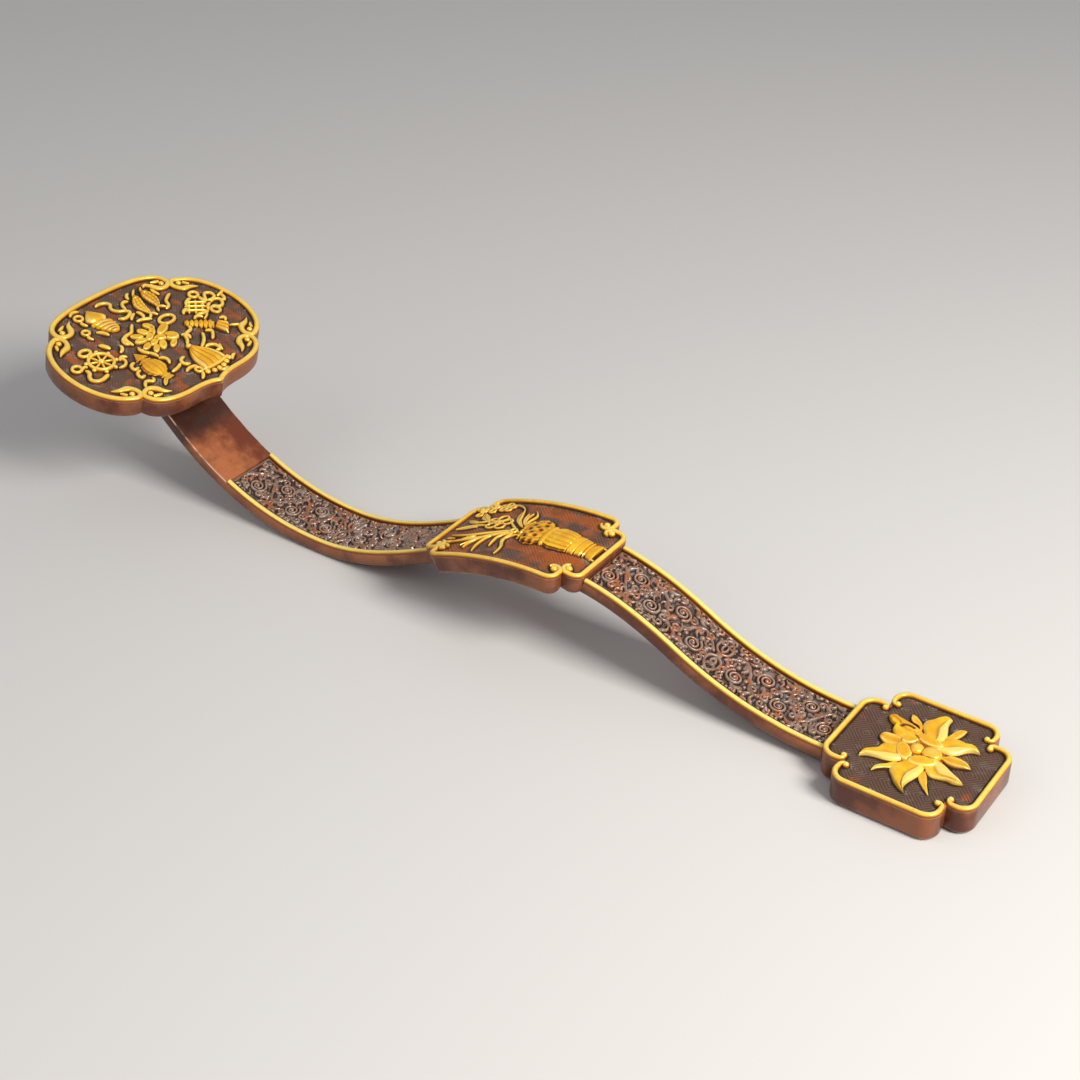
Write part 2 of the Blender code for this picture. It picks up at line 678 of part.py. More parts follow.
def make_saddle_board():
    """The board over the arch, with a channel underneath that sits astride the shaft."""
    body = board("saddle_board", cartouche(*SADDLE_SIZES), SADDLE_THICKNESS, SADDLE_ARRIS)
    channel = block("channel", -SADDLE_LENGTH, SADDLE_LENGTH, SHAFT_WIDTH / 2 + SEAT_GAP,
                    -2 * SADDLE_THICKNESS, SEAT_GAP - SADDLE_RISE - SADDLE_REBATE)
    holes = [dowel("hole", place, SADDLE_PEG_RADIUS + SEAT_GAP, -SADDLE_THICKNESS,
                   SADDLE_THICKNESS) for place in SADDLE_PEGS]
    return lay(sliced(combine(body, [channel] + holes)), on_saddle, "lacquer")


def make_tail_board():
    """The level board with a mortise for the shaft's tenon and a peg hole across it."""
    body = board("tail_board", cartouche(*TAIL_SIZES), TAIL_THICKNESS, TAIL_ARRIS)
    half_height = TENON_THICKNESS / 2 + SEAT_GAP
    middle = TENON_MIDDLE - TAIL_THICKNESS
    mortise = block("mortise", -TAIL_LENGTH, TENON_LENGTH + SEAT_GAP - TAIL_CENTRE,
                    TENON_WIDTH / 2 + SEAT_GAP, middle - half_height, middle + half_height)
    hole = dowel("hole", TAIL_PEG_PLACE - TAIL_CENTRE, TAIL_PEG_RADIUS + SEAT_GAP,
                 middle - half_height - TAIL_PEG_BITE, TAIL_THICKNESS)
    return lay(combine(body, [mortise, hole]), on_tail, "lacquer")


def make_pegs():
    """Five bamboo pegs, each flush with the floor of the pocket that hides it."""
    deep = HEAD_THICKNESS + SEAT_GAP + HEAD_PEG_BITE - SEAT_GAP
    for index, place in enumerate(HEAD_PEGS):
        peg = dowel("head_peg_" + str(index + 1), place, HEAD_PEG_RADIUS, -deep, -POCKET)
        lay(peg, on_head, "bamboo")
    deep = SADDLE_RISE + SADDLE_REBATE + SADDLE_PEG_BITE - SEAT_GAP
    for index, place in enumerate(SADDLE_PEGS):
        peg = dowel("saddle_peg_" + str(index + 1), place, SADDLE_PEG_RADIUS, -deep, -POCKET)
        lay(peg, on_saddle, "bamboo")
    deep = TAIL_THICKNESS - TENON_MIDDLE + TENON_THICKNESS / 2 + TAIL_PEG_BITE
    peg = dowel("tail_peg", TAIL_PEG_PLACE - TAIL_CENTRE, TAIL_PEG_RADIUS, -deep, -POCKET)
    lay(peg, on_tail, "bamboo")


# Inlaid panels, fillets and rims

def make_grounds():
    """The three dark grounds, let in flush with their boards."""
    reach = GROUND_LAND + SEAT_GAP
    head = plate("head_ground", [inset(head_outline(), reach)], -GROUND_THICKNESS, 0.0)
    lay(head, on_head, "ground")
    saddle = plate("saddle_ground", [inset(cartouche(*SADDLE_SIZES), reach)],
                   -GROUND_THICKNESS, 0.0)
    lay(sliced(saddle), on_saddle, "ground")
    tail = plate("tail_ground", [inset(cartouche(*TAIL_SIZES), reach)], -GROUND_THICKNESS, 0.0)
    lay(tail, on_tail, "ground")


def make_scroll_panels():
    """The two carved panels, let in flush with the shaft."""
    half = SHAFT_WIDTH / 2 - PANEL_LAND - SEAT_GAP
    upper = block("upper_scroll_panel", CARVED_START + SEAT_GAP, SADDLE_HEAD_END - SEAT_GAP, half,
                  -PANEL_THICKNESS, 0.0)
    lay(sliced(upper), on_shaft, "carved")
    lower = block("lower_scroll_panel", SADDLE_TAIL_END + SEAT_GAP, 0.0, half,
                  -PANEL_THICKNESS, 0.0)
    lay(sliced(lower), on_shaft, "carved")


def make_fillets():
    """Four gilt strips along the shaft's upper edges, beside the carved panels."""
    offset = (SHAFT_WIDTH - FILLET_WIDTH) / 2 - FILLET_INSET
    stretches = {"upper": (CARVED_START, SADDLE_HEAD_END - SEAT_GAP),
                 "lower": (SADDLE_TAIL_END + SEAT_GAP, 0.0)}
    for level, (first, last) in stretches.items():
        for side, y in (("left", -offset), ("right", offset)):
            path = np.array([(first, y), (last, y)])
            fillet = strip(level + "_fillet_" + side, path, FILLET_WIDTH, FILLET_HEIGHT)
            lay(sliced(fillet), on_shaft, "gilt")


def make_rims():
    """Four gilt strips round each board, one for each lobe, meeting in curls at the notches."""
    quarters = ("tail", "right", "head", "left")
    for quarter, path in zip(quarters, head_rims()):
        rim = strip("head_rim_" + quarter, path, RIM_WIDTH, RIM_HEIGHT, tip=0.35)
        lay(rim, on_head, "gilt")
    for quarter, path in zip(quarters, cartouche_rims(*SADDLE_SIZES)):
        rim = strip("saddle_rim_" + quarter, path, RIM_WIDTH, RIM_HEIGHT, tip=0.8)
        lay(sliced(rim), on_saddle, "gilt")
    for quarter, path in zip(quarters, cartouche_rims(*TAIL_SIZES)):
        rim = strip("tail_rim_" + quarter, path, RIM_WIDTH, RIM_HEIGHT, tip=0.8)
        lay(rim, on_tail, "gilt")


# Reliefs on the head: the lotus in the middle and seven emblems round it

def head_place(u_share, y_share):
    """A place on the head as shares of its reach and its half width."""
    return (u_share * HEAD_FLANK_REACH, y_share * HEAD_HALF_WIDTH)


def scaled_profile(pairs, length, radius):
    """A turned profile given in shares of its length and its greatest radius."""
    return [(along * length, out * radius) for along, out in pairs]


def make_lotus():
    """Two tiers of petals round a seed head."""
    tier = SEAT_GAP + LOW_RELIEF / 2
    lower = raised("lotus_relief", [rosette((0.0, 0.0), LOTUS_RADIUS, 8, 0.34)], LOW_RELIEF)
    upper = raised("tier", [rosette((0.0, 0.0), 0.62 * LOTUS_RADIUS, 6, 0.3, 0.4)],
                   HIGH_RELIEF - LOW_RELIEF / 2, tier)
    boss = raised("boss", [ring_outline((0.0, 0.0), 0.24 * LOTUS_RADIUS, 8)], HIGH_RELIEF,
                  tier + LOW_RELIEF / 4)
    lay(combine(lower, [upper, boss], "UNION"), on_head, "gilt")


def make_wheel():
    """The wheel of eight spokes: a rim with eight openings and a domed hub."""
    centre = np.array(head_place(-0.06, -0.63))
    openings = []
    inner, outer = WHEEL_HUB, WHEEL_RADIUS - WHEEL_RIM
    for index in range(8):
        middle = (index + 0.5) * math.pi / 4
        near = math.pi / 8 - math.asin(SPOKE_WIDTH / 2 / inner) if SPOKE_WIDTH < inner else 0.0
        far = math.pi / 8 - SPOKE_WIDTH / 2 / outer
        wedge = np.concatenate([arc((0.0, 0.0), outer, middle - far, 2 * far, 2),
                                arc((0.0, 0.0), inner, middle + near, -2 * near, 1)])
        openings.append(wedge + centre)
    wheel = raised("wheel_relief", [ring_outline(centre, WHEEL_RADIUS, 24)] + openings, LOW_RELIEF)
    lay(wheel, on_head, "gilt")


def make_knot():
    """The endless knot: two columns of three loops in one band."""
    centre = np.array(head_place(-0.10, 0.67))
    across, along = KNOT_LOOP, KNOT_LOOP
    tall, wide = 1.5 * along + KNOT_BAND / 2, across + KNOT_BAND / 2
    corner = 0.45 * across
    edge = lobe(tall, wide, corner, 3)
    outline = np.concatenate([edge, -edge]) + centre
    openings = []
    for column in (-0.5, 0.5):
        for row in (-1.0, 0.0, 1.0):
            middle = centre + np.array([row * along, column * across])
            openings.append(ring_outline(middle, (across - KNOT_BAND) / 2, 8))
    lay(raised("knot_relief", [outline] + openings, LOW_RELIEF), on_head, "gilt")


def make_turned_emblems():
    """Conch, two fish, banner, umbrella and treasure vase, each a turned form lying on its side."""
    conch = [(0.0, 0.0), (0.02, 0.62), (0.09, 0.8), (0.12, 1.0), (0.27, 0.98), (0.3, 0.86),
             (0.45, 0.82), (0.48, 0.68), (0.63, 0.62), (0.66, 0.48), (0.82, 0.38), (1.0, 0.0)]
    fish = [(0.0, 0.0), (0.1, 0.7), (0.35, 1.0), (0.6, 0.8), (0.78, 0.35), (0.84, 0.3),
            (0.95, 0.85), (1.0, 0.0)]
    banner = [(0.0, 0.0), (0.02, 0.55), (0.1, 0.6), (0.12, 0.4), (0.14, 0.62), (0.22, 0.68),
              (0.24, 0.45), (0.26, 0.7), (0.34, 0.75), (0.36, 0.5), (0.38, 0.8), (0.46, 0.85),
              (0.48, 0.55), (0.5, 0.75), (0.7, 1.0), (0.72, 0.2), (0.99, 0.2), (1.0, 0.0)]
    umbrella = [(0.0, 0.0), (0.03, 0.12), (0.12, 0.14), (0.16, 0.3), (0.35, 0.66), (0.6, 0.9),
                (0.82, 1.0), (0.88, 1.0), (0.9, 0.84), (0.98, 0.8), (1.0, 0.0)]
    urn = [(0.0, 0.0), (0.02, 0.1), (0.16, 0.62), (0.2, 0.62), (0.22, 0.3), (0.3, 0.34),
           (0.42, 0.86), (0.55, 1.0), (0.68, 0.86), (0.85, 0.42), (0.92, 0.4), (0.96, 0.6),
           (0.99, 0.6), (1.0, 0.0)]
    emblems = (
        ("conch_relief", conch, CONCH_LENGTH, CONCH_RADIUS, (-0.77, -0.27), 35.0, 0.36),
        ("inner_fish_relief", fish, FISH_LENGTH, FISH_RADIUS, (-0.71, 0.21), -8.0, 0.62),
        ("outer_fish_relief", fish, FISH_LENGTH, FISH_RADIUS, (-0.74, 0.345), 6.0, 0.62),
        ("banner_relief", banner, BANNER_LENGTH, BANNER_RADIUS, (0.08, 0.33), 50.0, 0.52),
        ("umbrella_relief", umbrella, UMBRELLA_LENGTH, UMBRELLA_RADIUS, (0.41, 0.095), 8.0, 0.22),
        ("urn_relief", urn, URN_LENGTH, URN_RADIUS, (0.13, -0.365), 8.0, 0.34),
    )
    for name, profile, length, radius, place, heading, flatten in emblems:
        pairs = scaled_profile(profile, length, radius)
        solid = half_turned(name, pairs, head_place(*place), math.radians(heading), flatten)
        lay(solid, on_head, "gilt")


# Reliefs on the saddle: a vase with blossom and orchid leaves

def saddle_place(u_share, y_share):
    """A place on the saddle as shares of its half length and its half width."""
    return np.array([u_share * SADDLE_LENGTH / 2, y_share * SADDLE_WIDTH / 2])


def make_vase():
    """The ribbed vase lying along the arch and the flower bowl in its mouth."""
    vase = [(0.0, 0.0), (0.01, 0.66), (0.06, 0.7), (0.08, 0.62), (0.12, 0.66), (0.15, 0.9),
            (0.3, 1.0), (0.5, 0.94), (0.72, 0.72), (0.76, 0.62), (0.82, 0.62), (0.86, 0.72),
            (0.99, 0.74), (1.0, 0.0)]
    bowl = [(0.0, 0.0), (0.06, 0.5), (0.3, 0.88), (0.6, 1.0), (0.88, 0.9), (1.0, 0.0)]
    body = half_turned("vase_relief", scaled_profile(vase, VASE_LENGTH, VASE_RADIUS),
                       saddle_place(0.29, 0.0), 0.0, 0.3)
    lay(sliced(body), on_saddle, "gilt")
    mouth = half_turned("flower_bowl_relief",
                        scaled_profile(bowl, FLOWER_BOWL_LENGTH, FLOWER_BOWL_RADIUS),
                        saddle_place(0.07, 0.0), 0.0, 0.24)
    lay(sliced(mouth), on_saddle, "gilt")


def make_blossom_spray():
    """Two branches from the bowl with four blossoms and a bud."""
    root = saddle_place(0.045, 0.06)
    low_bend, low_end = saddle_place(-0.36, 0.05), saddle_place(-0.44, -0.17)
    high_bend, high_end = saddle_place(-0.22, 0.56), saddle_place(-0.5, 0.66)
    low = np.concatenate([bow(root, (-1.0, 0.3), low_bend, (1.0, 0.2), (0.4, 0.4), 5),
                          bow(low_bend, (-1.0, -0.4), low_end, (0.1, 1.0), (0.4, 0.4), 3),
                          [low_end]])
    high = np.concatenate([bow(root, (-0.6, 1.0), high_bend, (0.8, -0.8), (0.4, 0.4), 5),
                           bow(high_bend, (-0.8, 0.8), high_end, (1.0, 0.0), (0.4, 0.4), 4),
                           [high_end]])
    spray = strip("blossom_spray", low, BRANCH_WIDTH, LOW_RELIEF)
    others = [strip("branch", high, BRANCH_WIDTH, LOW_RELIEF, base=SEAT_GAP + LOW_RELIEF / 10)]
    for place, radius in ((low_bend, BLOSSOM_RADIUS), (low_end, BUD_RADIUS),
                          (high_end, 0.8 * BLOSSOM_RADIUS),
                          (high_bend, 0.9 * BLOSSOM_RADIUS)):
        others.append(raised("blossom", [rosette(place, radius, 5, 0.35, 0.3, 3)], LOW_RELIEF,
                             SEAT_GAP + LOW_RELIEF / 5))
    lay(sliced(combine(spray, others, "UNION")), on_saddle, "gilt")


def make_orchid_leaves():
    """Four long leaves from one root, bending out towards the left."""
    root = saddle_place(0.03, -0.14)
    tips = (((-0.78, -0.38), (1.0, -0.05)), ((-0.46, -0.72), (0.5, 1.0)),
            ((-0.22, -0.78), (0.4, 1.0)), ((-0.03, -0.72), (0.3, 1.0)))
    leaves = []
    for index, (tip, arrive) in enumerate(tips):
        end = saddle_place(*tip)
        path = bow(root, (-1.0, -0.4 - 0.05 * index), end, arrive, (0.45, 0.3), 7)
        leaves.append(strip("orchid_leaves", path, BRANCH_WIDTH, LOW_RELIEF, 0.45,
                            SEAT_GAP + index * LOW_RELIEF / 10))
    lay(sliced(combine(leaves[0], leaves[1:], "UNION")), on_saddle, "gilt")


# Relief on the tail board: one open flower

def make_tail_flower():
    """Twelve pointed petals, large and small, round a bowl of inner petals with a boss."""
    petals = ((224.0, 0.98), (180.0, 0.64), (146.0, 0.86), (118.0, 0.87), (81.0, 1.0),
              (61.0, 1.04), (26.0, 1.0), (2.0, 0.92), (-22.0, 1.06), (-56.0, 1.14), (-75.0, 1.1),
              (-114.0, 0.94))
    tips = [(math.radians(angle), reach * FLOWER_TIP) for angle, reach in petals]
    outline = []
    for (angle, reach), (next_angle, next_reach) in zip(tips, tips[1:] + tips[:1]):
        turn = angle - ((angle - next_angle) % (2 * math.pi)) / 2
        tip = reach * np.array([math.cos(angle), math.sin(angle)])
        dip = FLOWER_VALLEY * np.array([math.cos(turn), math.sin(turn)])
        far = next_reach * np.array([math.cos(next_angle), math.sin(next_angle)])
        outline.append(bow(tip, dip - 0.75 * tip, dip, tip + 0.5 * dip, (0.3, 0.42), 4))
        outline.append(bow(dip, far + 0.5 * dip, far, dip - 0.75 * far, (0.42, 0.3), 4))
    flower = raised("tail_flower", [np.concatenate(outline)[::-1]], LOW_RELIEF)
    lay(flower, on_tail, "gilt")


def make_flower_heart():
    """The bowl of inner petals."""
    seat = LOW_RELIEF + 2 * SEAT_GAP
    bowl = raised("tail_flower_heart", [rosette((0.0, 0.0), FLOWER_HEART, 5, 0.2, 0.5)],
                  HIGH_RELIEF, seat)
    boss = raised("boss", [ring_outline((0.0, 0.0), FLOWER_BOSS, 8)], HIGH_RELIEF,
                  seat + LOW_RELIEF)
    lay(combine(bowl, [boss], "UNION"), on_tail, "gilt")


make_shaft()
make_head_board()
make_saddle_board()
make_tail_board()
make_pegs()
make_grounds()
make_scroll_panels()
make_fillets()
make_rims()
make_lotus()
make_wheel()
make_knot()
make_turned_emblems()
make_vase()
make_blossom_spray()
make_orchid_leaves()
make_tail_flower()
make_flower_heart()
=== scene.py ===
"""The looks of a ruyi scepter of lacquered and gilded wood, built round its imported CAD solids.

Sizes are in millimetres in each piece's own flat plane: u towards the tail, y across and h up. Each
piece is then laid on the shaft's curve, the tilted head or the level tail board, in metres.
"""

import math

import bmesh
import bpy
import numpy as np
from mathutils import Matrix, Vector


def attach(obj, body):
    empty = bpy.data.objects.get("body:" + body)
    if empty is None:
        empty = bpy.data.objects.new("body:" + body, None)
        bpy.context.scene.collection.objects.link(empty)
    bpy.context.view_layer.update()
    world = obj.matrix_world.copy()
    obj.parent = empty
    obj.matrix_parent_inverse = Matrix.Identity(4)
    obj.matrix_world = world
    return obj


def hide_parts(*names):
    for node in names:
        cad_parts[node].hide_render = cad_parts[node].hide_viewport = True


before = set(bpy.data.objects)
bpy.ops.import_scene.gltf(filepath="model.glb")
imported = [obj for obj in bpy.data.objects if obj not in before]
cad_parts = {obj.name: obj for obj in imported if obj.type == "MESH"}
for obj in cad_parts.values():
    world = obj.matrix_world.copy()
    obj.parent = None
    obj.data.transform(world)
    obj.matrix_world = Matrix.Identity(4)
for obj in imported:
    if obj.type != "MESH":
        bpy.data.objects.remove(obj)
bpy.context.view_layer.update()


# The table and the light. A plain pale table, a large soft light from the upper right, a weaker
# one from the left, and the camera where the photograph was taken from.

bpy.context.scene.view_settings.view_transform = "Standard"

TABLE_HALF, TABLE_TOP = 6.0, -0.0003
table_mesh = bpy.data.meshes.new("table")
table_mesh.from_pydata([(u * TABLE_HALF, y * TABLE_HALF, TABLE_TOP)
                        for u, y in ((-1, -1), (1, -1), (1, 1), (-1, 1))], [], [(0, 1, 2, 3)])
table_look = bpy.data.materials.new("table")
table_look.use_nodes = True
for socket, value in (("Base Color", (0.62, 0.61, 0.6, 1)), ("Roughness", 0.55)):
    table_look.node_tree.nodes["Principled BSDF"].inputs[socket].default_value = value
table_mesh.materials.append(table_look)
table = bpy.data.objects.new("table", table_mesh)
bpy.context.scene.collection.objects.link(table)

room = bpy.data.worlds.new("room")
room.use_nodes = True
for socket, value in (("Color", (0.97, 0.97, 1.0, 1)), ("Strength", 0.36)):
    room.node_tree.nodes["Background"].inputs[socket].default_value = value
bpy.context.scene.world = room

AIM = Vector((0.0, 0.0, 0.03))


def softbox(name, place, size, power, tint):
    """A square area light at a place, turned towards the scepter."""
    data = bpy.data.lights.new(name, "AREA")
    data.size, data.energy, data.color = size, power, tint
    lamp = bpy.data.objects.new(name, data)
    lamp.location = place
    lamp.rotation_euler = (AIM - Vector(place)).to_track_quat("-Z", "Y").to_euler()
    bpy.context.scene.collection.objects.link(lamp)


softbox("key", (0.85, -0.1, 0.75), 0.42, 15.0, (1.0, 0.96, 0.9))
softbox("fill", (-0.6, -0.8, 0.8), 0.9, 2.5, (1.0, 0.98, 0.96))

CAMERA_AZIMUTH, CAMERA_ELEVATION = 35.14, 33.73
eye = bpy.data.cameras.new("eye")
eye.lens, eye.sensor_width = 62.45, 36.0
camera = bpy.data.objects.new("eye", eye)
camera.location = (0.3613, -0.4799, 0.4296)
camera.rotation_euler = (math.radians(90 - CAMERA_ELEVATION), 0.0, math.radians(CAMERA_AZIMUTH))
bpy.context.scene.collection.objects.link(camera)
bpy.context.scene.camera = camera


# The shaft: one flat bar of wood under smooth red-brown lacquer, bent into a double curve. Its top
# is let down for the two carved panels and for the saddle, and its head end is a rounded pad.

MM = 0.001
SEAT_GAP = 0.3
TAIL_JOINT_X = 153.08
KNOT_PLACES = np.array([0.0, 62.0, 112.0, 172.0, 230.0, 305.0, 336.0])
KNOT_HEIGHTS = np.array([8.0, 24.1, 39.0, 23.9, 5.6, 35.0, 57.6])
HEAD_TILT = math.radians(14.4)
KNOT_SLOPES = np.array([0.0, 0.546, 0.0, -0.50, 0.0, 0.914, math.tan(HEAD_TILT)])
SHAFT_HALF, SHAFT_THICKNESS = 14.05, 5.6
PAD_END, PAD_CORNER = -353.0, 8.0
CARVED_START, SADDLE_START, SADDLE_END = -279.0, -172.0, -100.6
REBATE_START, REBATE_END = SADDLE_START - SEAT_GAP, SADDLE_END + SEAT_GAP
REBATE, POCKET_HALF, POCKET = 1.6, 12.15, 1.3
UPPER_EDGE, LOWER_EDGE, SHAFT_STEP = 0.5, 1.4, 1.5
# Where the pale line of wear and painted highlight ends, where the painted shadow of the head on the bar
# starts, and the length over which it darkens.
PALE_LINE_END, SHADE_START, SHADE_RUN = -330.0, -296.0, 5.0


def cubic(t, width, low, high, leave, arrive):
    """The cubic arc from low to high, with its slopes at both ends: t runs from 0 to 1 over a
    width."""
    return (low * (2 * t**3 - 3 * t**2 + 1) + high * (3 * t**2 - 2 * t**3)
            + width * leave * (t**3 - 2 * t**2 + t) + width * arrive * (t**3 - t**2))


def clamped(value):
    """A value kept between 0 and 1."""
    return np.clip(value, 0.0, 1.0)


def circle(angle):
    """Points on a circle of radius 1, at angles in radians."""
    return np.stack([np.cos(angle), np.sin(angle)], axis=-1)


def shaft_line(distance):
    """Height and slope of the bar's top at distances from the tail: cubic arcs between the knots,
    straight beyond them."""
    inside = np.clip(distance, KNOT_PLACES[0], KNOT_PLACES[-1])
    span = np.clip(np.searchsorted(KNOT_PLACES, inside, side="right") - 1, 0, len(KNOT_PLACES) - 2)
    width = KNOT_PLACES[span + 1] - KNOT_PLACES[span]
    low, high = KNOT_HEIGHTS[span], KNOT_HEIGHTS[span + 1]
    leave, arrive = KNOT_SLOPES[span], KNOT_SLOPES[span + 1]
    t = (inside - KNOT_PLACES[span]) / width
    grade = ((high - low) * (6 * t - 6 * t**2) / width
             + leave * (3 * t**2 - 4 * t + 1) + arrive * (3 * t**2 - 2 * t))
    return cubic(t, width, low, high, leave, arrive) + (distance - inside) * grade, grade


def on_shaft(flat):
    """(u, y, h) on the bar, u = 0 at the tail and negative towards the head, in metres: h runs
    square to the curve."""
    height, grade = shaft_line(-flat[..., 0])
    length = np.sqrt(1 + grade**2)
    x = TAIL_JOINT_X + flat[..., 0] + flat[..., 2] * grade / length
    return np.stack([x, flat[..., 1], height + flat[..., 2] / length], axis=-1) * MM


class Value:
    """A value inside a material. Arithmetic on it adds a Math node."""

    def __init__(self, finish, socket):
        self.finish, self.socket = finish, socket

    def math(self, operation, first, second):
        """A Math node with its two inputs."""
        return self.finish.add("ShaderNodeMath", {"operation": operation}, {0: first, 1: second})

    def __add__(self, other):
        return self.math("ADD", self, other)

    def __sub__(self, other):
        return self.math("SUBTRACT", self, other)

    def __rsub__(self, other):
        return self.math("SUBTRACT", other, self)

    def __mul__(self, other):
        return self.math("MULTIPLY", self, other)


class Finish:
    """A material and the nodes that make it."""

    def __init__(self, name, **fixed):
        self.material = bpy.data.materials.new(name)
        self.material.use_nodes = True
        self.tree = self.material.node_tree
        self.coat = self.tree.nodes["Principled BSDF"]
        self.place = self.add("ShaderNodeTexCoord", output="Object")
        self.shade(**fixed)

    def feed(self, socket, value):
        """Give a socket a fixed value or a link."""
        if isinstance(value, Value):
            self.tree.links.new(value.socket, socket)
        else:
            socket.default_value = value

    def add(self, kind, settings=None, inputs=None, output=0):
        """Add a node with its settings and its inputs, and take one output."""
        node = self.tree.nodes.new(kind)
        for name, value in (settings or {}).items():
            setattr(node, name, value)
        for name, value in (inputs or {}).items():
            self.feed(node.inputs[name], value)
        return Value(self, node.outputs[output])

    def noise(self, scale, detail, stretch=(1.0, 1.0, 1.0)):
        """Cloudy noise between 0 and 1, with scale in cycles a metre."""
        place = self.add("ShaderNodeMapping", None, {"Vector": self.place, "Scale": stretch})
        return self.add("ShaderNodeTexNoise", None,
                        {"Vector": place, "Scale": scale, "Detail": detail, "Roughness": 0.6})

    def between(self, value, low, high):
        """0 below low, 1 above high and a smooth step between them."""
        return self.add("ShaderNodeMapRange", {"interpolation_type": "SMOOTHSTEP"},
                        {0: value, 1: low, 2: high})

    def patches(self, scale, detail, low, high, stretch=(1.0, 1.0, 1.0)):
        """Soft-edged patches: noise, 0 where it is below low and 1 where it is above high."""
        return self.between(self.noise(scale, detail, stretch), low, high)

    def layered(self, base, *layers):
        """A colour with others laid over it in turn, each with the share that it covers."""
        for share, colour in layers:
            base = self.add("ShaderNodeMix", {"data_type": "RGBA"}, {0: share, 6: base, 7: colour}, 2)
        return base

    def painted(self, name):
        """A number painted on the mesh's points."""
        return self.add("ShaderNodeAttribute", {"attribute_name": name}, None, "Fac")

    def shade(self, **inputs):
        """Feed the surface's inputs, which are named with _ for a space."""
        for socket, value in inputs.items():
            self.feed(self.coat.inputs[socket.replace("_", " ")], value)

    def rough(self, height, depth):
        """Bumps of a real height, in millimetres."""
        bump = self.add("ShaderNodeBump", None, {"Height": height, "Distance": depth * MM}, "Normal")
        self.shade(Normal=bump)


def lacquer_finish():
    """Red-brown lacquer: orange-brown where it is thin, darker clouds and specks, nearly black under the
    painted shadow of the head and darker under painted shade on the sides, and a pale line along the edges
    that is partly wear and partly a painted highlight."""
    finish = Finish("red_brown_lacquer", Coat_Weight=0.1, Coat_Roughness=0.15, Specular_IOR_Level=0.3)
    cloud = finish.patches(45.0, 4.0, 0.36, 0.6)
    patina = finish.patches(75.0, 5.0, 0.54, 0.72, (1.0, 0.6, 1.4))
    speck = finish.patches(900.0, 2.0, 0.62, 0.75)
    # A pale line along the edges, partly wear and partly a painted highlight; below it the painted shadow and
    # shade are laid over the lacquer.
    wear_and_highlight = finish.painted("worn_and_highlit") * finish.patches(160.0, 3.0, 0.3, 0.6)
    base = finish.layered((0.15, 0.036, 0.016, 1), (cloud, (0.41, 0.135, 0.05, 1)),
                          (patina * 0.45, (0.075, 0.03, 0.022, 1)), (speck * 0.35, (0.03, 0.012, 0.01, 1)),
                          (finish.painted("shadow") * 0.85, (0.028, 0.014, 0.012, 1)),
                          (wear_and_highlight, (0.68, 0.42, 0.31, 1)))
    finish.shade(Base_Color=base, Roughness=patina * 0.2 + cloud * 0.08 + 0.24)
    finish.rough(finish.noise(260.0, 4.0) + speck * 0.4, 0.05)
    return finish.material


LACQUER = lacquer_finish()
SLICE, SHARP = 2.0, 38.0


def closed_faces(around, count, start):
    """Faces of a closed form of rings of points: quads between each two rings, and both ends
    capped."""
    index = start + np.arange(count * around).reshape(count, around)
    after = np.roll(index, -1, axis=1)
    quads = np.stack([index[:-1], after[:-1], after[1:], index[1:]], axis=-1).reshape(-1, 4)
    return quads.tolist() + [index[0][::-1].tolist(), index[-1].tolist()]


def add_piece(name, forms, surface, look, nodes, slices=False):
    """One piece of closed forms, laid where it belongs, in place of its CAD nodes.

    Each form holds rings of (u, y, h) points and the numbers painted on them. With slices, its
    faces are cut across every few millimetres first, so that they can bend."""
    points, faces, start = [], [], 0
    painted = {key: [] for key in ("hollow", "highlight", "worn_and_highlit", "shadow")}
    for rings, paint in forms:
        count, around = rings.shape[:2]
        faces += closed_faces(around, count, start)
        points.append(rings.reshape(-1, 3))
        for key, values in painted.items():
            values.append(np.broadcast_to(paint.get(key, 0.0), (count, around)).ravel())
        start += count * around
    points = np.concatenate(points)
    mesh = bpy.data.meshes.new(name)
    mesh.from_pydata(points.tolist(), [], faces)
    for key, values in painted.items():
        values = np.concatenate(values).astype(np.float32)
        if values.any():
            mesh.attributes.new(key, "FLOAT", "POINT").data.foreach_set("value", values)
    if slices:
        shell = bmesh.new()
        shell.from_mesh(mesh)
        for place in np.arange(points[:, 0].min() + SLICE / 2, points[:, 0].max(), SLICE):
            bmesh.ops.bisect_plane(shell, geom=shell.verts[:] + shell.edges[:] + shell.faces[:],
                                   dist=1e-5, plane_co=(place, 0.0, 0.0), plane_no=(1.0, 0.0, 0.0))
        shell.to_mesh(mesh)
        shell.free()
    flat = np.empty(3 * len(mesh.vertices), dtype=np.float32)
    mesh.vertices.foreach_get("co", flat)
    mesh.vertices.foreach_set("co", surface(flat.reshape(-1, 3).astype(float)).ravel())
    finish_piece(name, mesh, look, nodes)


def finish_piece(name, mesh, look, nodes, sharp=SHARP):
    """Turn a mesh's faces outwards, smooth it but for edges sharper than an angle, give it its
    finish and put it in the frame."""
    shell = bmesh.new()
    shell.from_mesh(mesh)
    bmesh.ops.recalc_face_normals(shell, faces=shell.faces)
    shell.to_mesh(mesh)
    shell.free()
    mesh.shade_smooth()
    mesh.set_sharp_from_angle(angle=math.radians(sharp))
    mesh.materials.append(look)
    piece = bpy.data.objects.new(name, mesh)
    bpy.context.scene.collection.objects.link(piece)
    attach(piece, "root")
    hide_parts(*nodes)


def quarter(start):
    """Points of a quarter turn on a circle of radius 1, from an angle in degrees."""
    return circle(np.radians(start + 90.0 * np.linspace(0.0, 1.0, 5)))


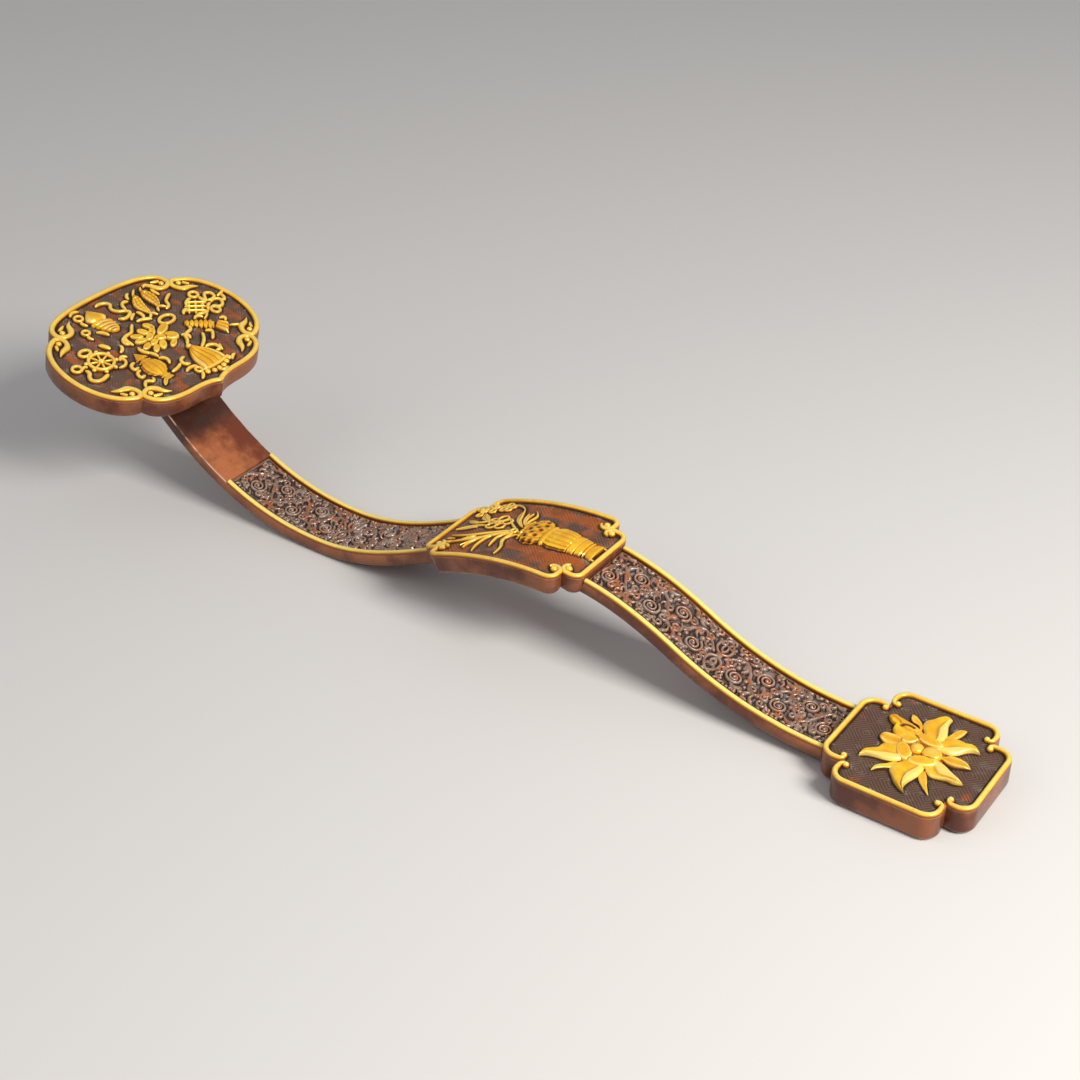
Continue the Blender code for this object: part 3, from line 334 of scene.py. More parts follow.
def shaft_form():
    """The bar as cross-sections along u: a flat top with a shallow pocket where the panels lie,
    small upper edges and softly rounded lower ones. Each row of a cross-section holds its share
    of the half width, its share of the pocket's depth, its offset and rise, and 1 if it is below."""
    breaks = np.array([CARVED_START, REBATE_START, REBATE_END])
    along = np.unique(np.concatenate([
        np.arange(PAD_END, 0.01, SHAFT_STEP), breaks - 0.05, breaks + 0.05, [PAD_END + 0.1, -0.3, 0.0],
        np.linspace(PAD_END, PAD_END + PAD_CORNER, 14)]))
    over = np.clip(PAD_END + PAD_CORNER - along, 0.0, PAD_CORNER)
    half = SHAFT_HALF - PAD_CORNER + np.sqrt(PAD_CORNER**2 - over**2)
    saddled = (along > REBATE_START) & (along < REBATE_END)
    top = np.where(saddled, -REBATE, 0.0)
    pocket = np.where((along > CARVED_START) & ~saddled, POCKET, 0.0)
    rows = [(0.0, 1.0, POCKET_HALF - 0.3, 0.0, 0.0), (0.0, 0.0, POCKET_HALF, 0.0, 0.0)]
    rows += [(1.0, 0.0, (y - 1) * UPPER_EDGE, (h - 1) * UPPER_EDGE, 0.0) for y, h in quarter(0.0)[::-1]]
    rows += [(1.0, 0.0, (y - 1) * LOWER_EDGE, (h + 1) * LOWER_EDGE, 1.0) for y, h in quarter(-90.0)[::-1]]
    rows.append((0.5, 0.0, 0.0, 0.0, 1.0))
    share, drop, offset, rise, bottom = np.array(rows).T
    y = share * half[:, None] + offset
    y = np.minimum(y, half[:, None] * np.where(share > 0, 1.0, 0.999))
    h = np.where(bottom > 0, rise - SHAFT_THICKNESS, top[:, None] - drop * pocket[:, None] + rise)
    flat = np.stack([np.broadcast_to(along[:, None], y.shape), y, h], axis=-1)
    rings = np.concatenate([flat, (flat * np.array([1.0, -1.0, 1.0]))[:, ::-1]], axis=1)
    # A pale line, partly wear and partly a painted highlight, along the upper edges of the plain stretch.
    bare = ((along < CARVED_START) & (along > PALE_LINE_END))[:, None]
    edge = np.zeros(len(rows))
    edge[3:6] = 1.0
    worn_and_highlit = bare * np.concatenate([edge, edge[::-1]])
    # A painted shadow cast by the head on the bar, and painted shade on the lower flanks.
    under_head = clamped((SHADE_START - along) / SHADE_RUN)[:, None]
    flank = 0.5 * np.concatenate([bottom, bottom[::-1]])
    return rings, {"worn_and_highlit": worn_and_highlit, "shadow": np.maximum(under_head, flank)}


add_piece("shaft_bar", [shaft_form()], on_shaft, LACQUER, ["shaft"])


# The carved panels: thin boards carved with vine scrolls over a finely lined ground, let into the
# bar between its gilt edges. The carving is mirrored about the middle of each panel.

PANEL_HALF, PANEL_FLOOR, PANEL_THICKNESS, BORDER = 11.85, -1.0, 1.25, 1.0
LINE_PITCH, LINE_HEIGHT, CUT_ALONG, CUT_ACROSS = 0.6, 0.16, 0.15, 0.2
BENDS_APART, BEND, CURLS_APART, SCROLL_SEED = 9.2, 5.6, 2.9, 7
DOT = np.array([[0.0], [0.05]])


def drawn(points, count):
    """A smooth line through drawn points: cubic arcs with each point's slope taken from its
    neighbours, at even steps of the chords' length."""
    points = np.asarray(points, dtype=float)
    at = np.concatenate([[0.0], np.cumsum(np.linalg.norm(np.diff(points, axis=0), axis=1))])
    slope = np.gradient(points, at, axis=0, edge_order=min(2, len(points) - 1))
    place = np.linspace(0.0, at[-1], count)
    span = np.clip(np.searchsorted(at, place, side="right") - 1, 0, len(at) - 2)
    width = (at[span + 1] - at[span])[:, None]
    t = (place - at[span])[:, None] / width
    return cubic(t, width, points[span], points[span + 1], slope[span], slope[span + 1])


def spiral(centre, outer, inner, start, turns, count):
    """A scroll that winds in from an outer to an inner radius."""
    share = np.linspace(0.0, 1.0, count)
    angle = np.radians(start) + 2 * math.pi * turns * share
    radius = outer + (inner - outer) * share**0.8
    return centre + radius[:, None] * circle(angle)


def raise_ridge(height, u, y, path, width, top):
    """Raise a rounded ridge along a path: at distance d from the line it is as high as a half
    round of that width."""
    width = np.broadcast_to(width, len(path))
    low, high = path.min(axis=0) - width.max(), path.max(axis=0) + width.max()
    rows = slice(*np.searchsorted(u, (low[0], high[0])))
    columns = slice(*np.searchsorted(y, (low[1], high[1])))
    spot = np.stack(np.meshgrid(u[rows], y[columns], indexing="ij"), axis=-1)[..., None, :]
    if spot.size == 0:
        return
    run = np.diff(path, axis=0)
    share = clamped(((spot - path[:-1]) * run).sum(-1) / np.maximum((run**2).sum(-1), 1e-9))
    away = np.linalg.norm(spot - path[:-1] - share[..., None] * run, axis=-1)
    across = width[:-1] + share * np.diff(width)
    dome = np.sqrt(clamped(1.0 - (away / across)**2)).max(axis=-1)
    height[rows, columns] = np.maximum(height[rows, columns], PANEL_FLOOR + (top - PANEL_FLOOR) * dome)


def vine_scrolls(length):
    """Paths, widths and heights of the scrollwork on half a panel, from its middle outwards: a
    wavy vine, a scroll with a berry in each bend, and curls, leaves and berries that fill the
    rest."""
    half = length / 2
    chance = np.random.default_rng(SCROLL_SEED)
    bends = np.arange(8.5, half - 2.0, BENDS_APART)
    vine = [(2.6, 0.5)] + [(place, (-1)**index * BEND) for index, place in enumerate(bends)]
    vine.append((half - 1.0, (-1)**len(bends) * 3.0))
    strokes = [(drawn(vine, 110), 0.7, 0.05)]
    centres = np.array([(place + 0.4, -(-1)**index * 3.9) for index, place in enumerate(bends)])
    for index, centre in enumerate(centres):
        side = (-1)**index
        scroll = spiral(centre, 3.5, 0.9, side * 120.0, side * 1.9, 60)
        strokes += [(scroll, np.linspace(0.62, 0.42, 60), 0.15), (centre + DOT, 0.85, 0.3)]
    for u in np.arange(1.6, half - 0.8, CURLS_APART):
        for y in np.arange(-10.2, 10.3, CURLS_APART):
            spot = np.array([u, y]) + chance.uniform(-0.8, 0.8, 2)
            kind = chance.choice([0, 0, 0, 1, 1, 1, 2])
            turn = chance.uniform(0.0, 360.0)
            size = chance.uniform(0.95, 1.35)
            if np.linalg.norm(centres - spot, axis=1).min() < 4.0 or u < 3.0 and abs(y) < 7.0:
                continue
            rise = chance.uniform(-0.2, 0.25)
            if kind == 0:
                curl = spiral(spot, 1.45 * size, 0.45, turn, chance.choice([-1.1, 1.1]), 20)
                strokes.append((curl, np.linspace(0.72, 0.5, 20), rise))
            elif kind == 1:
                way = circle(math.radians(turn))
                bow_out = 0.7 * way[::-1] * np.array([-1.0, 1.0])
                leaf = drawn([spot - 1.4 * size * way, spot + bow_out, spot + 1.5 * size * way], 12)
                strokes.append((leaf, np.linspace(0.95, 0.2, 12) * size, rise))
            else:
                strokes.append((spot + DOT, 0.85 * size, rise + 0.1))
    for edge in (-1, 1):
        stem = drawn([(0.0, edge * 1.0), (2.4, edge * 2.6), (2.8, edge * 5.2), (0.3, edge * 9.4)], 24)
        bud = drawn([(0.0, edge * 2.4), (0.9, edge * 4.2), (0.2, edge * 6.4)], 16)
        strokes += [(stem, np.linspace(0.6, 0.75, 24), 0.15), (bud, np.linspace(0.75, 0.35, 16), 0.1)]
    strokes.append((np.array([(0.0, -0.4), (0.0, 0.4)]), 1.3, 0.3))
    return strokes


def panel_form(first, last):
    """A carved panel: its top is the lined ground, cut in even grooves across the bar, with the ridges of the
    scrollwork raised over it inside a plain border. It is painted with shade where it lies low and lower than
    the mean round it, and with a highlight where it stands above that mean."""
    middle = (first + last) / 2
    u = np.linspace(first, last, int((last - first) / CUT_ALONG)) - middle
    y = np.linspace(-PANEL_HALF, PANEL_HALF, 2 * int(PANEL_HALF / CUT_ACROSS) + 1)
    groove = np.abs((u / LINE_PITCH) % 1.0 - 0.5) * 2
    height = np.broadcast_to((PANEL_FLOOR + LINE_HEIGHT * groove)[:, None], (len(u), len(y))).copy()
    for path, width, top in vine_scrolls(last - first):
        raise_ridge(height, u, y, path, width, top)
        raise_ridge(height, u, y, path * np.array([-1.0, 1.0]), width, top)
    border = np.minimum(PANEL_HALF - np.abs(y)[None, :], (u[-1] - np.abs(u))[:, None])
    height = np.where(border < BORDER, PANEL_FLOOR + 0.35, height)
    height = np.where((border < 0.25) | (np.abs(border - 0.9) < 0.15), PANEL_FLOOR - 0.1, height)
    around = sum(np.roll(np.roll(height, i, 0), j, 1) for i in (-4, 0, 4) for j in (-3, 0, 3)) / 9
    # Painted shade in the low places, and a painted highlight on the ridges.
    hollow = clamped(0.5 * (0.1 - height) + 1.6 * (around - height))
    highlight = clamped(2.2 * (height - around) - 0.3)
    top = np.stack(np.broadcast_arrays(u[:, None] + middle, y, height), axis=-1)
    under = top[:, [-1, 0]] * np.array([1.0, 1.0, 0.0]) - np.array([0.0, 0.0, PANEL_THICKNESS])
    beside = ((0, 0), (0, 2))
    return np.concatenate([top, under], axis=1), {
        "hollow": np.pad(hollow, beside, constant_values=1), "highlight": np.pad(highlight, beside)}


def carved_finish():
    """Lacquer with orange-brown patches, painted shade that is nearly black in the cuts, a painted highlight
    on the ridges, and dust and wax that grey the rest.
    """
    finish = Finish("carved_lacquer", Coat_Weight=0.6, Coat_Roughness=0.1, Specular_IOR_Level=0.5)
    hollow = finish.painted("hollow")
    film = finish.patches(210.0, 4.0, 0.45, 0.62)
    warm = finish.patches(190.0, 3.0, 0.46, 0.64)
    grey = finish.between(hollow, 0.2, 0.5) * (1 - finish.between(hollow, 0.6, 0.9))
    # Laid over the lacquer: the painted highlight on the ridges, the painted shade in the cuts, and grey
    # dust.
    base = finish.layered((0.17, 0.085, 0.05, 1), (warm, (0.31, 0.09, 0.024, 1)),
                          (film * (1 - warm) * 0.45, (0.34, 0.27, 0.22, 1)),
                          (finish.painted("highlight") * 0.6, (0.52, 0.39, 0.31, 1)),
                          (finish.between(hollow, 0.25, 0.75), (0.02, 0.01, 0.008, 1)),
                          (film * grey * 0.5, (0.26, 0.23, 0.22, 1)))
    finish.shade(Base_Color=base, Roughness=film * 0.2 + 0.2)
    finish.rough(finish.noise(600.0, 3.0), 0.08)
    return finish.material


CARVED = carved_finish()
for name, first, last in (("upper_scroll_panel", CARVED_START + SEAT_GAP, REBATE_START),
                          ("lower_scroll_panel", REBATE_END, 0.0)):
    add_piece(name + "_carving", [panel_form(first, last)], on_shaft, CARVED, [name])


# The gilt fillets along the bar's upper edges: half-round beads of wood under gold leaf, with a painted
# highlight along their tops and painted shade at their feet, where red lacquer also shows through the gold.

FILLET_OFFSET, FILLET_WIDTH, FILLET_HEIGHT, FILLET_HIGHLIGHT = 12.98, 2.2, 1.15, 2.2
SUNK = -0.35
BEAD = np.array([(-1.0, -0.3), (-0.99, 0.3), (-0.85, 0.66), (-0.6, 0.87), (-0.3, 0.97), (0.0, 1.0),
                 (0.3, 0.97), (0.6, 0.87), (0.85, 0.66), (0.99, 0.3), (1.0, -0.3)])


def sideways(path):
    """The direction square to a path at each of its points, of length 1."""
    run = np.gradient(path, axis=0)
    run /= np.maximum(np.linalg.norm(run, axis=1), 1e-9)[:, None]
    return np.stack([run[:, 1], -run[:, 0]], axis=1)


def stroke(path, width, height, wear_and_highlight=0.65):
    """A carved stroke: a half-round section carried along a drawn line, its width and height free to change
    along it. It reaches a little way into what it stands on, is dark at its foot, where red lacquer shows and
    shade is painted, and has a painted highlight on its top."""
    half = np.broadcast_to(width, len(path))[:, None] / 2
    height = np.broadcast_to(height, len(path))[:, None]
    out, up = BEAD.T
    plan = path[:, None, :] + sideways(path)[:, None, :] * (half * out)[..., None]
    h = np.where(up < 0, SUNK, height * up)
    # Painted shade at the foot, and a painted highlight on the top.
    hollow = clamped(1.25 - 1.6 * up) * np.ones_like(half)
    highlight = clamped(wear_and_highlight * (5 * up - 3.9)) * np.ones_like(half)
    return np.concatenate([plan, h[..., None]], axis=-1), {"hollow": hollow, "highlight": highlight}


def gilt_finish():
    """Gold leaf on a red ground: a painted highlight where it stands up, painted shade that turns it orange
    lower down and brown in the cuts, where the red ground also shows, and patches of wear."""
    finish = Finish("gilt", Coat_Weight=0.1, Coat_Roughness=0.2, Specular_IOR_Level=0.5)
    hollow, highlight = finish.painted("hollow"), finish.painted("highlight")
    cloud = finish.patches(140.0, 4.0, 0.35, 0.7)
    wear_and_highlight = finish.patches(420.0, 4.0, 0.6, 0.72)
    # Over the gold: the painted highlight, the painted shade of the hollows, and patches of wear.
    base = finish.layered((0.82, 0.4, 0.012, 1), (cloud, (0.99, 0.6, 0.03, 1)),
                          (highlight * 0.9, (1.0, 0.84, 0.26, 1)),
                          (finish.between(hollow, 0.15, 0.75), (0.45, 0.15, 0.004, 1)),
                          (finish.between(hollow, 0.7, 1.0) * 0.9, (0.05, 0.014, 0.004, 1)),
                          (wear_and_highlight * 0.35, (0.45, 0.17, 0.02, 1)))
    finish.shade(Base_Color=base, Roughness=wear_and_highlight * 0.15 + hollow * 0.2 + 0.27,
                 Metallic=0.25 - hollow * 0.2)
    finish.rough(finish.noise(700.0, 3.0), 0.05)
    return finish.material


GILT = gilt_finish()
for level, first, last in (("upper", CARVED_START, REBATE_START), ("lower", REBATE_END, 0.0)):
    for side, y in (("left", -FILLET_OFFSET), ("right", FILLET_OFFSET)):
        line = np.stack([np.linspace(first, last, 90), np.full(90, y)], axis=1)
        bead = stroke(line, FILLET_WIDTH, FILLET_HEIGHT, FILLET_HIGHLIGHT)
        add_piece(f"{level}_fillet_{side}_bead", [bead], on_shaft, GILT, [f"{level}_fillet_{side}"])


# The head: a thick board cut to a cloud outline and tilted up from the bar. Its top holds a dark
# inlaid ground within a raised gilt rim, and its lower edge is softly rounded.

HEAD_THICKNESS, HEAD_BEHIND_PAD = 8.5, 7.7
HEAD_NOTCH, HEAD_POINT, HEAD_FAR_POINT = np.array([25.2, 33.0]), (38.3, 0.0), (-37.0, 0.0)
ARC_POINTS, BOARD_UPPER_EDGE, BOARD_LOWER_EDGE, GROUND_POCKET, POCKET_INSET = 26, 0.8, 1.9, 1.3, 1.2
LOWER_ROWS, SIDE_ROWS, UPPER_ROWS = slice(1, 4), slice(0, 8), slice(8, 12)
OVER_U, OVER_Y = np.array([-1.0, 1.0]), np.array([1.0, -1.0])


def on_head(flat):
    """(u, y, h) on the head, tilted up from the bar's pad, in metres."""
    cosine, sine = circle(HEAD_TILT)
    along, above = flat[..., 0] + HEAD_BEHIND_PAD, flat[..., 2] + HEAD_THICKNESS + SEAT_GAP
    x = TAIL_JOINT_X - KNOT_PLACES[-1] + along * cosine + above * sine
    return np.stack([x, flat[..., 1], KNOT_HEIGHTS[-1] - along * sine + above * cosine], axis=-1) * MM


def bow(start, leave, end, arrive, pull):
    """A cubic arc without its last point: leave and arrive are the directions out of its ends, and
    pull holds its two handles as shares of the chord."""
    start, end = np.asarray(start, dtype=float), np.asarray(end, dtype=float)
    chord = np.linalg.norm(end - start)
    first = start + pull[0] * chord * np.array(leave) / np.linalg.norm(leave)
    second = end + pull[1] * chord * np.array(arrive) / np.linalg.norm(arrive)
    t = np.linspace(0.0, 1.0, ARC_POINTS, endpoint=False)[:, None]
    return (1 - t)**3 * start + 3 * (1 - t)**2 * t * first + 3 * (1 - t) * t**2 * second + t**3 * end


def inset(points, distance):
    """A closed counter-clockwise outline moved inwards: each point goes along the mean of the two
    normals beside it."""
    edge = np.roll(points, -1, axis=0) - points
    edge = edge / np.linalg.norm(edge, axis=1)[:, None]
    inward = np.stack([-edge[:, 1], edge[:, 0]], axis=1)
    before = np.roll(inward, 1, axis=0)
    share = 1 + np.sum(inward * before, axis=1)
    return points + distance * (inward + before) / np.maximum(share, 0.35)[:, None]


def head_lobes():
    """The right half of the head's outline: the tail lobe, the side lobe and the far lobe."""
    flank, crown, far_notch = (35.4, 13.0), (0.0, 48.5), HEAD_NOTCH * OVER_U
    tail_lobe = np.concatenate([bow(HEAD_POINT, (-1, 1.1), flank, (0, -1), (0.26, 0.38)),
                                bow(flank, (0, 1), HEAD_NOTCH, (1, -0.17), (0.31, 0.40))])
    side_lobe = np.concatenate([bow(HEAD_NOTCH, (-0.12, 1), crown, (1, 0), (0.32, 0.41)),
                                bow(crown, (-1, 0), far_notch, (0.07, 1), (0.41, 0.34))])
    return tail_lobe, side_lobe, bow(far_notch, (-1, 0.05), HEAD_FAR_POINT, (0, 1), (0.27, 0.52))


def head_outline():
    """The head's whole outline, counter-clockwise from the point that faces the bar."""
    right = np.concatenate(head_lobes() + ([HEAD_FAR_POINT],))
    return np.concatenate([right, (right[1:-1] * OVER_Y)[::-1]])


def board_form(outline, thickness):
    """A board as rings of its outline, moved inwards and up: its rounded lower edge, its side, its
    upper edge and the pocket for its ground. Both edges are quarter rounds."""
    steps = [(BOARD_LOWER_EDGE * (1 - math.cos(turn)), BOARD_LOWER_EDGE * (1 - math.sin(turn)) - thickness)
             for turn in np.radians(np.linspace(90.0, 0.0, 6))]
    steps.append((0.0, -0.5 * thickness))
    steps += [(BOARD_UPPER_EDGE * (1 - math.cos(turn)), BOARD_UPPER_EDGE * (math.sin(turn) - 1))
              for turn in np.radians(np.linspace(0.0, 90.0, 6))]
    steps += [(POCKET_INSET, 0.0), (POCKET_INSET + 0.05, -GROUND_POCKET)]
    rings = np.stack([np.column_stack([inset(outline, distance), np.full(len(outline), h)])
                      for distance, h in steps])
    # Painted shade on the sides, and a pale line on both edges that is partly wear and partly a painted
    # highlight.
    worn_and_highlit, shadow = np.zeros((2,) + rings.shape[:2])
    worn_and_highlit[UPPER_ROWS], worn_and_highlit[LOWER_ROWS] = 0.15, 0.3
    shadow[SIDE_ROWS] = 0.5
    return rings, {"worn_and_highlit": worn_and_highlit, "shadow": shadow}


add_piece("head_board_form", [board_form(head_outline(), HEAD_THICKNESS)], on_head, LACQUER,
          ["head_board"])


# The head's gilt rim: four round strips of wood under gold leaf, one along each lobe. At the
# notches they turn inwards in hooks, which swell round a bud and run out in leaf tips.

HEAD_BAND, RIM_RISE, BUD, FINGER_WIDTH = 2.4, 1.25, 1.35, 1.7
SIDE_HOOK = np.array([(23.9, 33.4), (22.2, 31.7), (19.4, 31.9), (17.0, 33.8), (16.2, 36.8), (14.3, 39.9)])
END_HOOK = np.array([(24.0, 31.3), (22.7, 29.3), (22.5, 26.9), (24.4, 24.6), (27.0, 23.4), (29.3, 20.7)])
SIDE_BUD, END_BUD = np.array([20.9, 34.7]), np.array([25.2, 28.6])
SIDE_FINGER = np.array([(20.4, 36.6), (18.9, 37.4), (17.8, 38.2)])
END_FINGER = np.array([(27.0, 28.8), (27.8, 27.0), (28.4, 25.2)])
SAME, OVER_BOTH = np.array([1.0, 1.0]), np.array([-1.0, -1.0])


def along_line(points, pitch=0.5):
    """A drawn line at even steps."""
    length = np.linalg.norm(np.diff(points, axis=0), axis=1).sum()
    return drawn(points, max(8, int(length / pitch)))


def run_of(path):
    """The distance run along a path at each of its points."""
    return np.concatenate([[0.0], np.cumsum(np.linalg.norm(np.diff(path, axis=0), axis=1))])


def tapered(path, width, ends, reach):
    """A width along a path that thins over a length at its first and last end, to given shares."""
    run = run_of(path)
    first = ends[0] + (1 - ends[0]) * np.sin(clamped(run / reach) * math.pi / 2)
    last = ends[1] + (1 - ends[1]) * np.sin(clamped((run[-1] - run) / reach) * math.pi / 2)
    return width * first * last


def boss(centre, radius, height, around=14):
    """A round knob: rings of a circle, whose radius falls with the cosine to the power 0.65 as its
    height rises with the sine."""
    turn = np.linspace(0.0, math.pi / 2, 6)
    reach = np.concatenate([[1.0], np.cos(turn[:-1])**0.65, [0.15]])
    rise = np.concatenate([[SUNK], height * np.sin(turn[:-1]), [height]])
    angle = np.arange(around) / around * 2 * math.pi
    plan = np.array(centre) + radius * reach[:, None, None] * circle(angle)
    rings = np.concatenate([plan, np.broadcast_to(rise[:, None, None], plan.shape[:2] + (1,))], -1)
    # Painted shade at the foot, and a painted highlight on the top.
    share = clamped(rise / height)[:, None]
    return rings, {"hollow": clamped(1.2 - 1.5 * share), "highlight": clamped(4 * share - 3)}


def head_rim(lobe_points, first_hook, last_hook):
    """A rim strip: the hook at its start, the lobe's edge and the hook at its end. Its width goes
    from each leaf tip through the hook's swelling to the even band."""
    path = along_line(np.concatenate([first_hook[::-1], lobe_points[3:-2][::3], last_hook]))
    run = run_of(path)
    from_tip = np.minimum(run, run[-1] - run)
    width = np.interp(from_tip, (0.0, 1.2, 3.2, 6.5, 9.5, 12.0), (0.35, 1.1, 2.2, 3.1, 2.3, HEAD_BAND))
    return stroke(path, width, np.interp(from_tip, (0.0, 4.0), (0.6, RIM_RISE)))


RING = inset(head_outline(), HEAD_BAND / 2 + 0.05)
tail_edge = np.concatenate([(RING[1:2 * ARC_POINTS] * OVER_Y)[::-1], RING[:2 * ARC_POINTS]])
side_edge = RING[2 * ARC_POINTS:4 * ARC_POINTS + 1]
far_half = RING[4 * ARC_POINTS:5 * ARC_POINTS + 1]
far_edge = np.concatenate([far_half, (far_half[:-1] * OVER_Y)[::-1]])
HEAD_RIMS = (("tail", tail_edge, END_HOOK, END_BUD, END_FINGER, (OVER_Y, SAME)),
             ("right", side_edge, SIDE_HOOK, SIDE_BUD, SIDE_FINGER, (SAME, OVER_U)),
             ("head", far_edge, END_HOOK, END_BUD, END_FINGER, (OVER_U, OVER_BOTH)),
             ("left", (side_edge * OVER_Y)[::-1], SIDE_HOOK, SIDE_BUD, SIDE_FINGER, (OVER_BOTH, OVER_Y)))
head_forms = []
for quarter_name, edge, hook, bud, finger, (first, last) in HEAD_RIMS:
    forms = [head_rim(edge, hook * first, hook * last)]
    for side in (first, last):
        forms.append(boss(bud * side, BUD, BUD))
        line = along_line(finger * side)
        forms.append(stroke(line, tapered(line, FINGER_WIDTH, (0.8, 0.4), 2.0), 1.0))
    head_forms += forms
    name = f"head_rim_{quarter_name}"
    add_piece(name + "_band", forms, on_head, GILT, [name])


# The head's reliefs: a lotus in the middle, and round it the eight lucky emblems tied with
# ribbons, carved in the board's own wood and gilded.

ACROSS = np.array([-1.0, -0.96, -0.82, -0.6, -0.32, 0.0, 0.32, 0.6, 0.82, 0.96, 1.0])
RIBBON, FLOOR = 1.7, -0.4


def blade(left, right, height, cup=0.3, lift=(0.55, 1.0), count=16, ribs=0, bands=0):
    """A petal or leaf between two drawn edges: across it the height rises steeply from each edge
    and sinks by the share cup to the middle, along it the height grows from one lift to the next.
    Ribs are cosine waves across it and bands are cosine waves along it."""
    left, right = drawn(left, count), drawn(right, count)
    side = sideways((left + right) / 2)
    side *= np.sign(((right - left) * side).sum(axis=1).sum())
    left, right = left - 0.15 * side, right + 0.15 * side
    s = ACROSS if not ribs else np.linspace(-1.0, 1.0, 6 * ribs + 1)
    share = ((s + 1) / 2)[:, None]
    plan = left[:, None] * (1 - share) + right[:, None] * share
    groove = np.cos(math.pi * s * ribs) if ribs else np.zeros_like(s)
    crown = (1 - s**6) * (1 - cup * (1 - s**2)) + 0.22 * groove
    t = np.linspace(0.0, 1.0, count)
    along = (lift[0] + (lift[1] - lift[0]) * t) * np.minimum(1.0, (1.02 - t) * 5)**0.5
    wave = np.cos(2 * math.pi * bands * t)[:, None] if bands else np.zeros((count, 1))
    h = height * along[:, None] * (crown + 0.1 * wave)
    h[:, [0, -1]] = SUNK
    # Painted shade at the edges, in the ribs, in the waves and towards the root, and a painted highlight in
    # two bands along it.
    hollow = clamped(1.3 - 1.45 * crown) + clamped(-0.9 * groove - 0.2)
    hollow = np.maximum(hollow, clamped(-0.8 * wave - 0.3))
    hollow = clamped(np.maximum(hollow, 0.45 * (1 - t[:, None])**2))
    highlight = np.where(np.abs(np.abs(s) - 0.7) < 0.16, 0.8, 0.0) * t[:, None]
    return np.concatenate([plan, h[..., None]], axis=-1), {"hollow": hollow, "highlight": highlight}


def turned_form(start, heading, profile, flatten, flutes=0):
    """Half of a turned form lying on the ground, flattened to a share of its height: the profile
    holds (distance along the axis, radius) pairs, and flutes lengthwise ribs swell its radius."""
    profile = np.asarray(profile, dtype=float)
    place = np.unique(np.concatenate([np.arange(0.0, profile[-1, 0], 0.35), profile[:, 0]]))
    radius = np.maximum(np.interp(place, *profile.T), 0.12)[:, None]
    angle = np.radians(np.linspace(0.0, 180.0, 13 if not flutes else 10 * flutes + 1))
    groove = np.cos(2 * flutes * angle) if flutes else np.ones_like(angle)
    swell = 0.93 + 0.07 * groove
    side, h = -radius * swell * np.cos(angle), flatten * radius * swell * np.sin(angle)
    h[:, [0, -1]] = SUNK
    cosine, sine = circle(math.radians(heading))
    u = start[0] + place[:, None] * cosine - side * sine
    y = start[1] + place[:, None] * sine + side * cosine
    # Painted shade along the sides, in the narrow places and in the flutes' grooves.
    deep = np.gradient(np.gradient(radius[:, 0])) * 3.5
    hollow = clamped(1.0 - 1.5 * np.sin(angle)[None, :] + deep[:, None])
    hollow = np.maximum(hollow, clamped(-0.8 * groove - 0.25) * (flutes > 0))
    return np.stack([u, y, h], axis=-1), {"hollow": hollow}


def hoop(centre, radii, width=1.35, height=1.1, count=30):
    """A ring as a stroke, round or oval."""
    angle = np.radians(360.0 * np.linspace(0.0, 1.0, count))
    return stroke(np.array(centre) + radii * circle(angle), width, height)


def ribbons(width, *lines, height=1.15):
    """Ribbons drawn through points, thinner and lower at both ends."""
    forms = []
    for line in lines:
        path = along_line(line, 0.35)
        lift = tapered(path, height, (0.6, 0.6), 1.5)
        forms.append(stroke(path, tapered(path, width, (0.45, 0.45), 1.8), lift))
    return forms


def petal(start, end, width, height):
    """A pointed petal from one point to another, widest a little past its middle."""
    start, end = np.asarray(start, dtype=float), np.asarray(end, dtype=float)
    side = (end - start)[::-1] * OVER_U / np.linalg.norm(end - start)
    t = np.array([0.0, 0.25, 0.55, 0.8, 1.0])[:, None]
    out = width / 2 * np.array([0.5, 0.85, 1.0, 0.75, 0.05])[:, None] * side
    spine = start + (end - start) * t
    return blade(spine + out, spine - out, height, cup=0.35, lift=(0.8, 1.0), count=10)


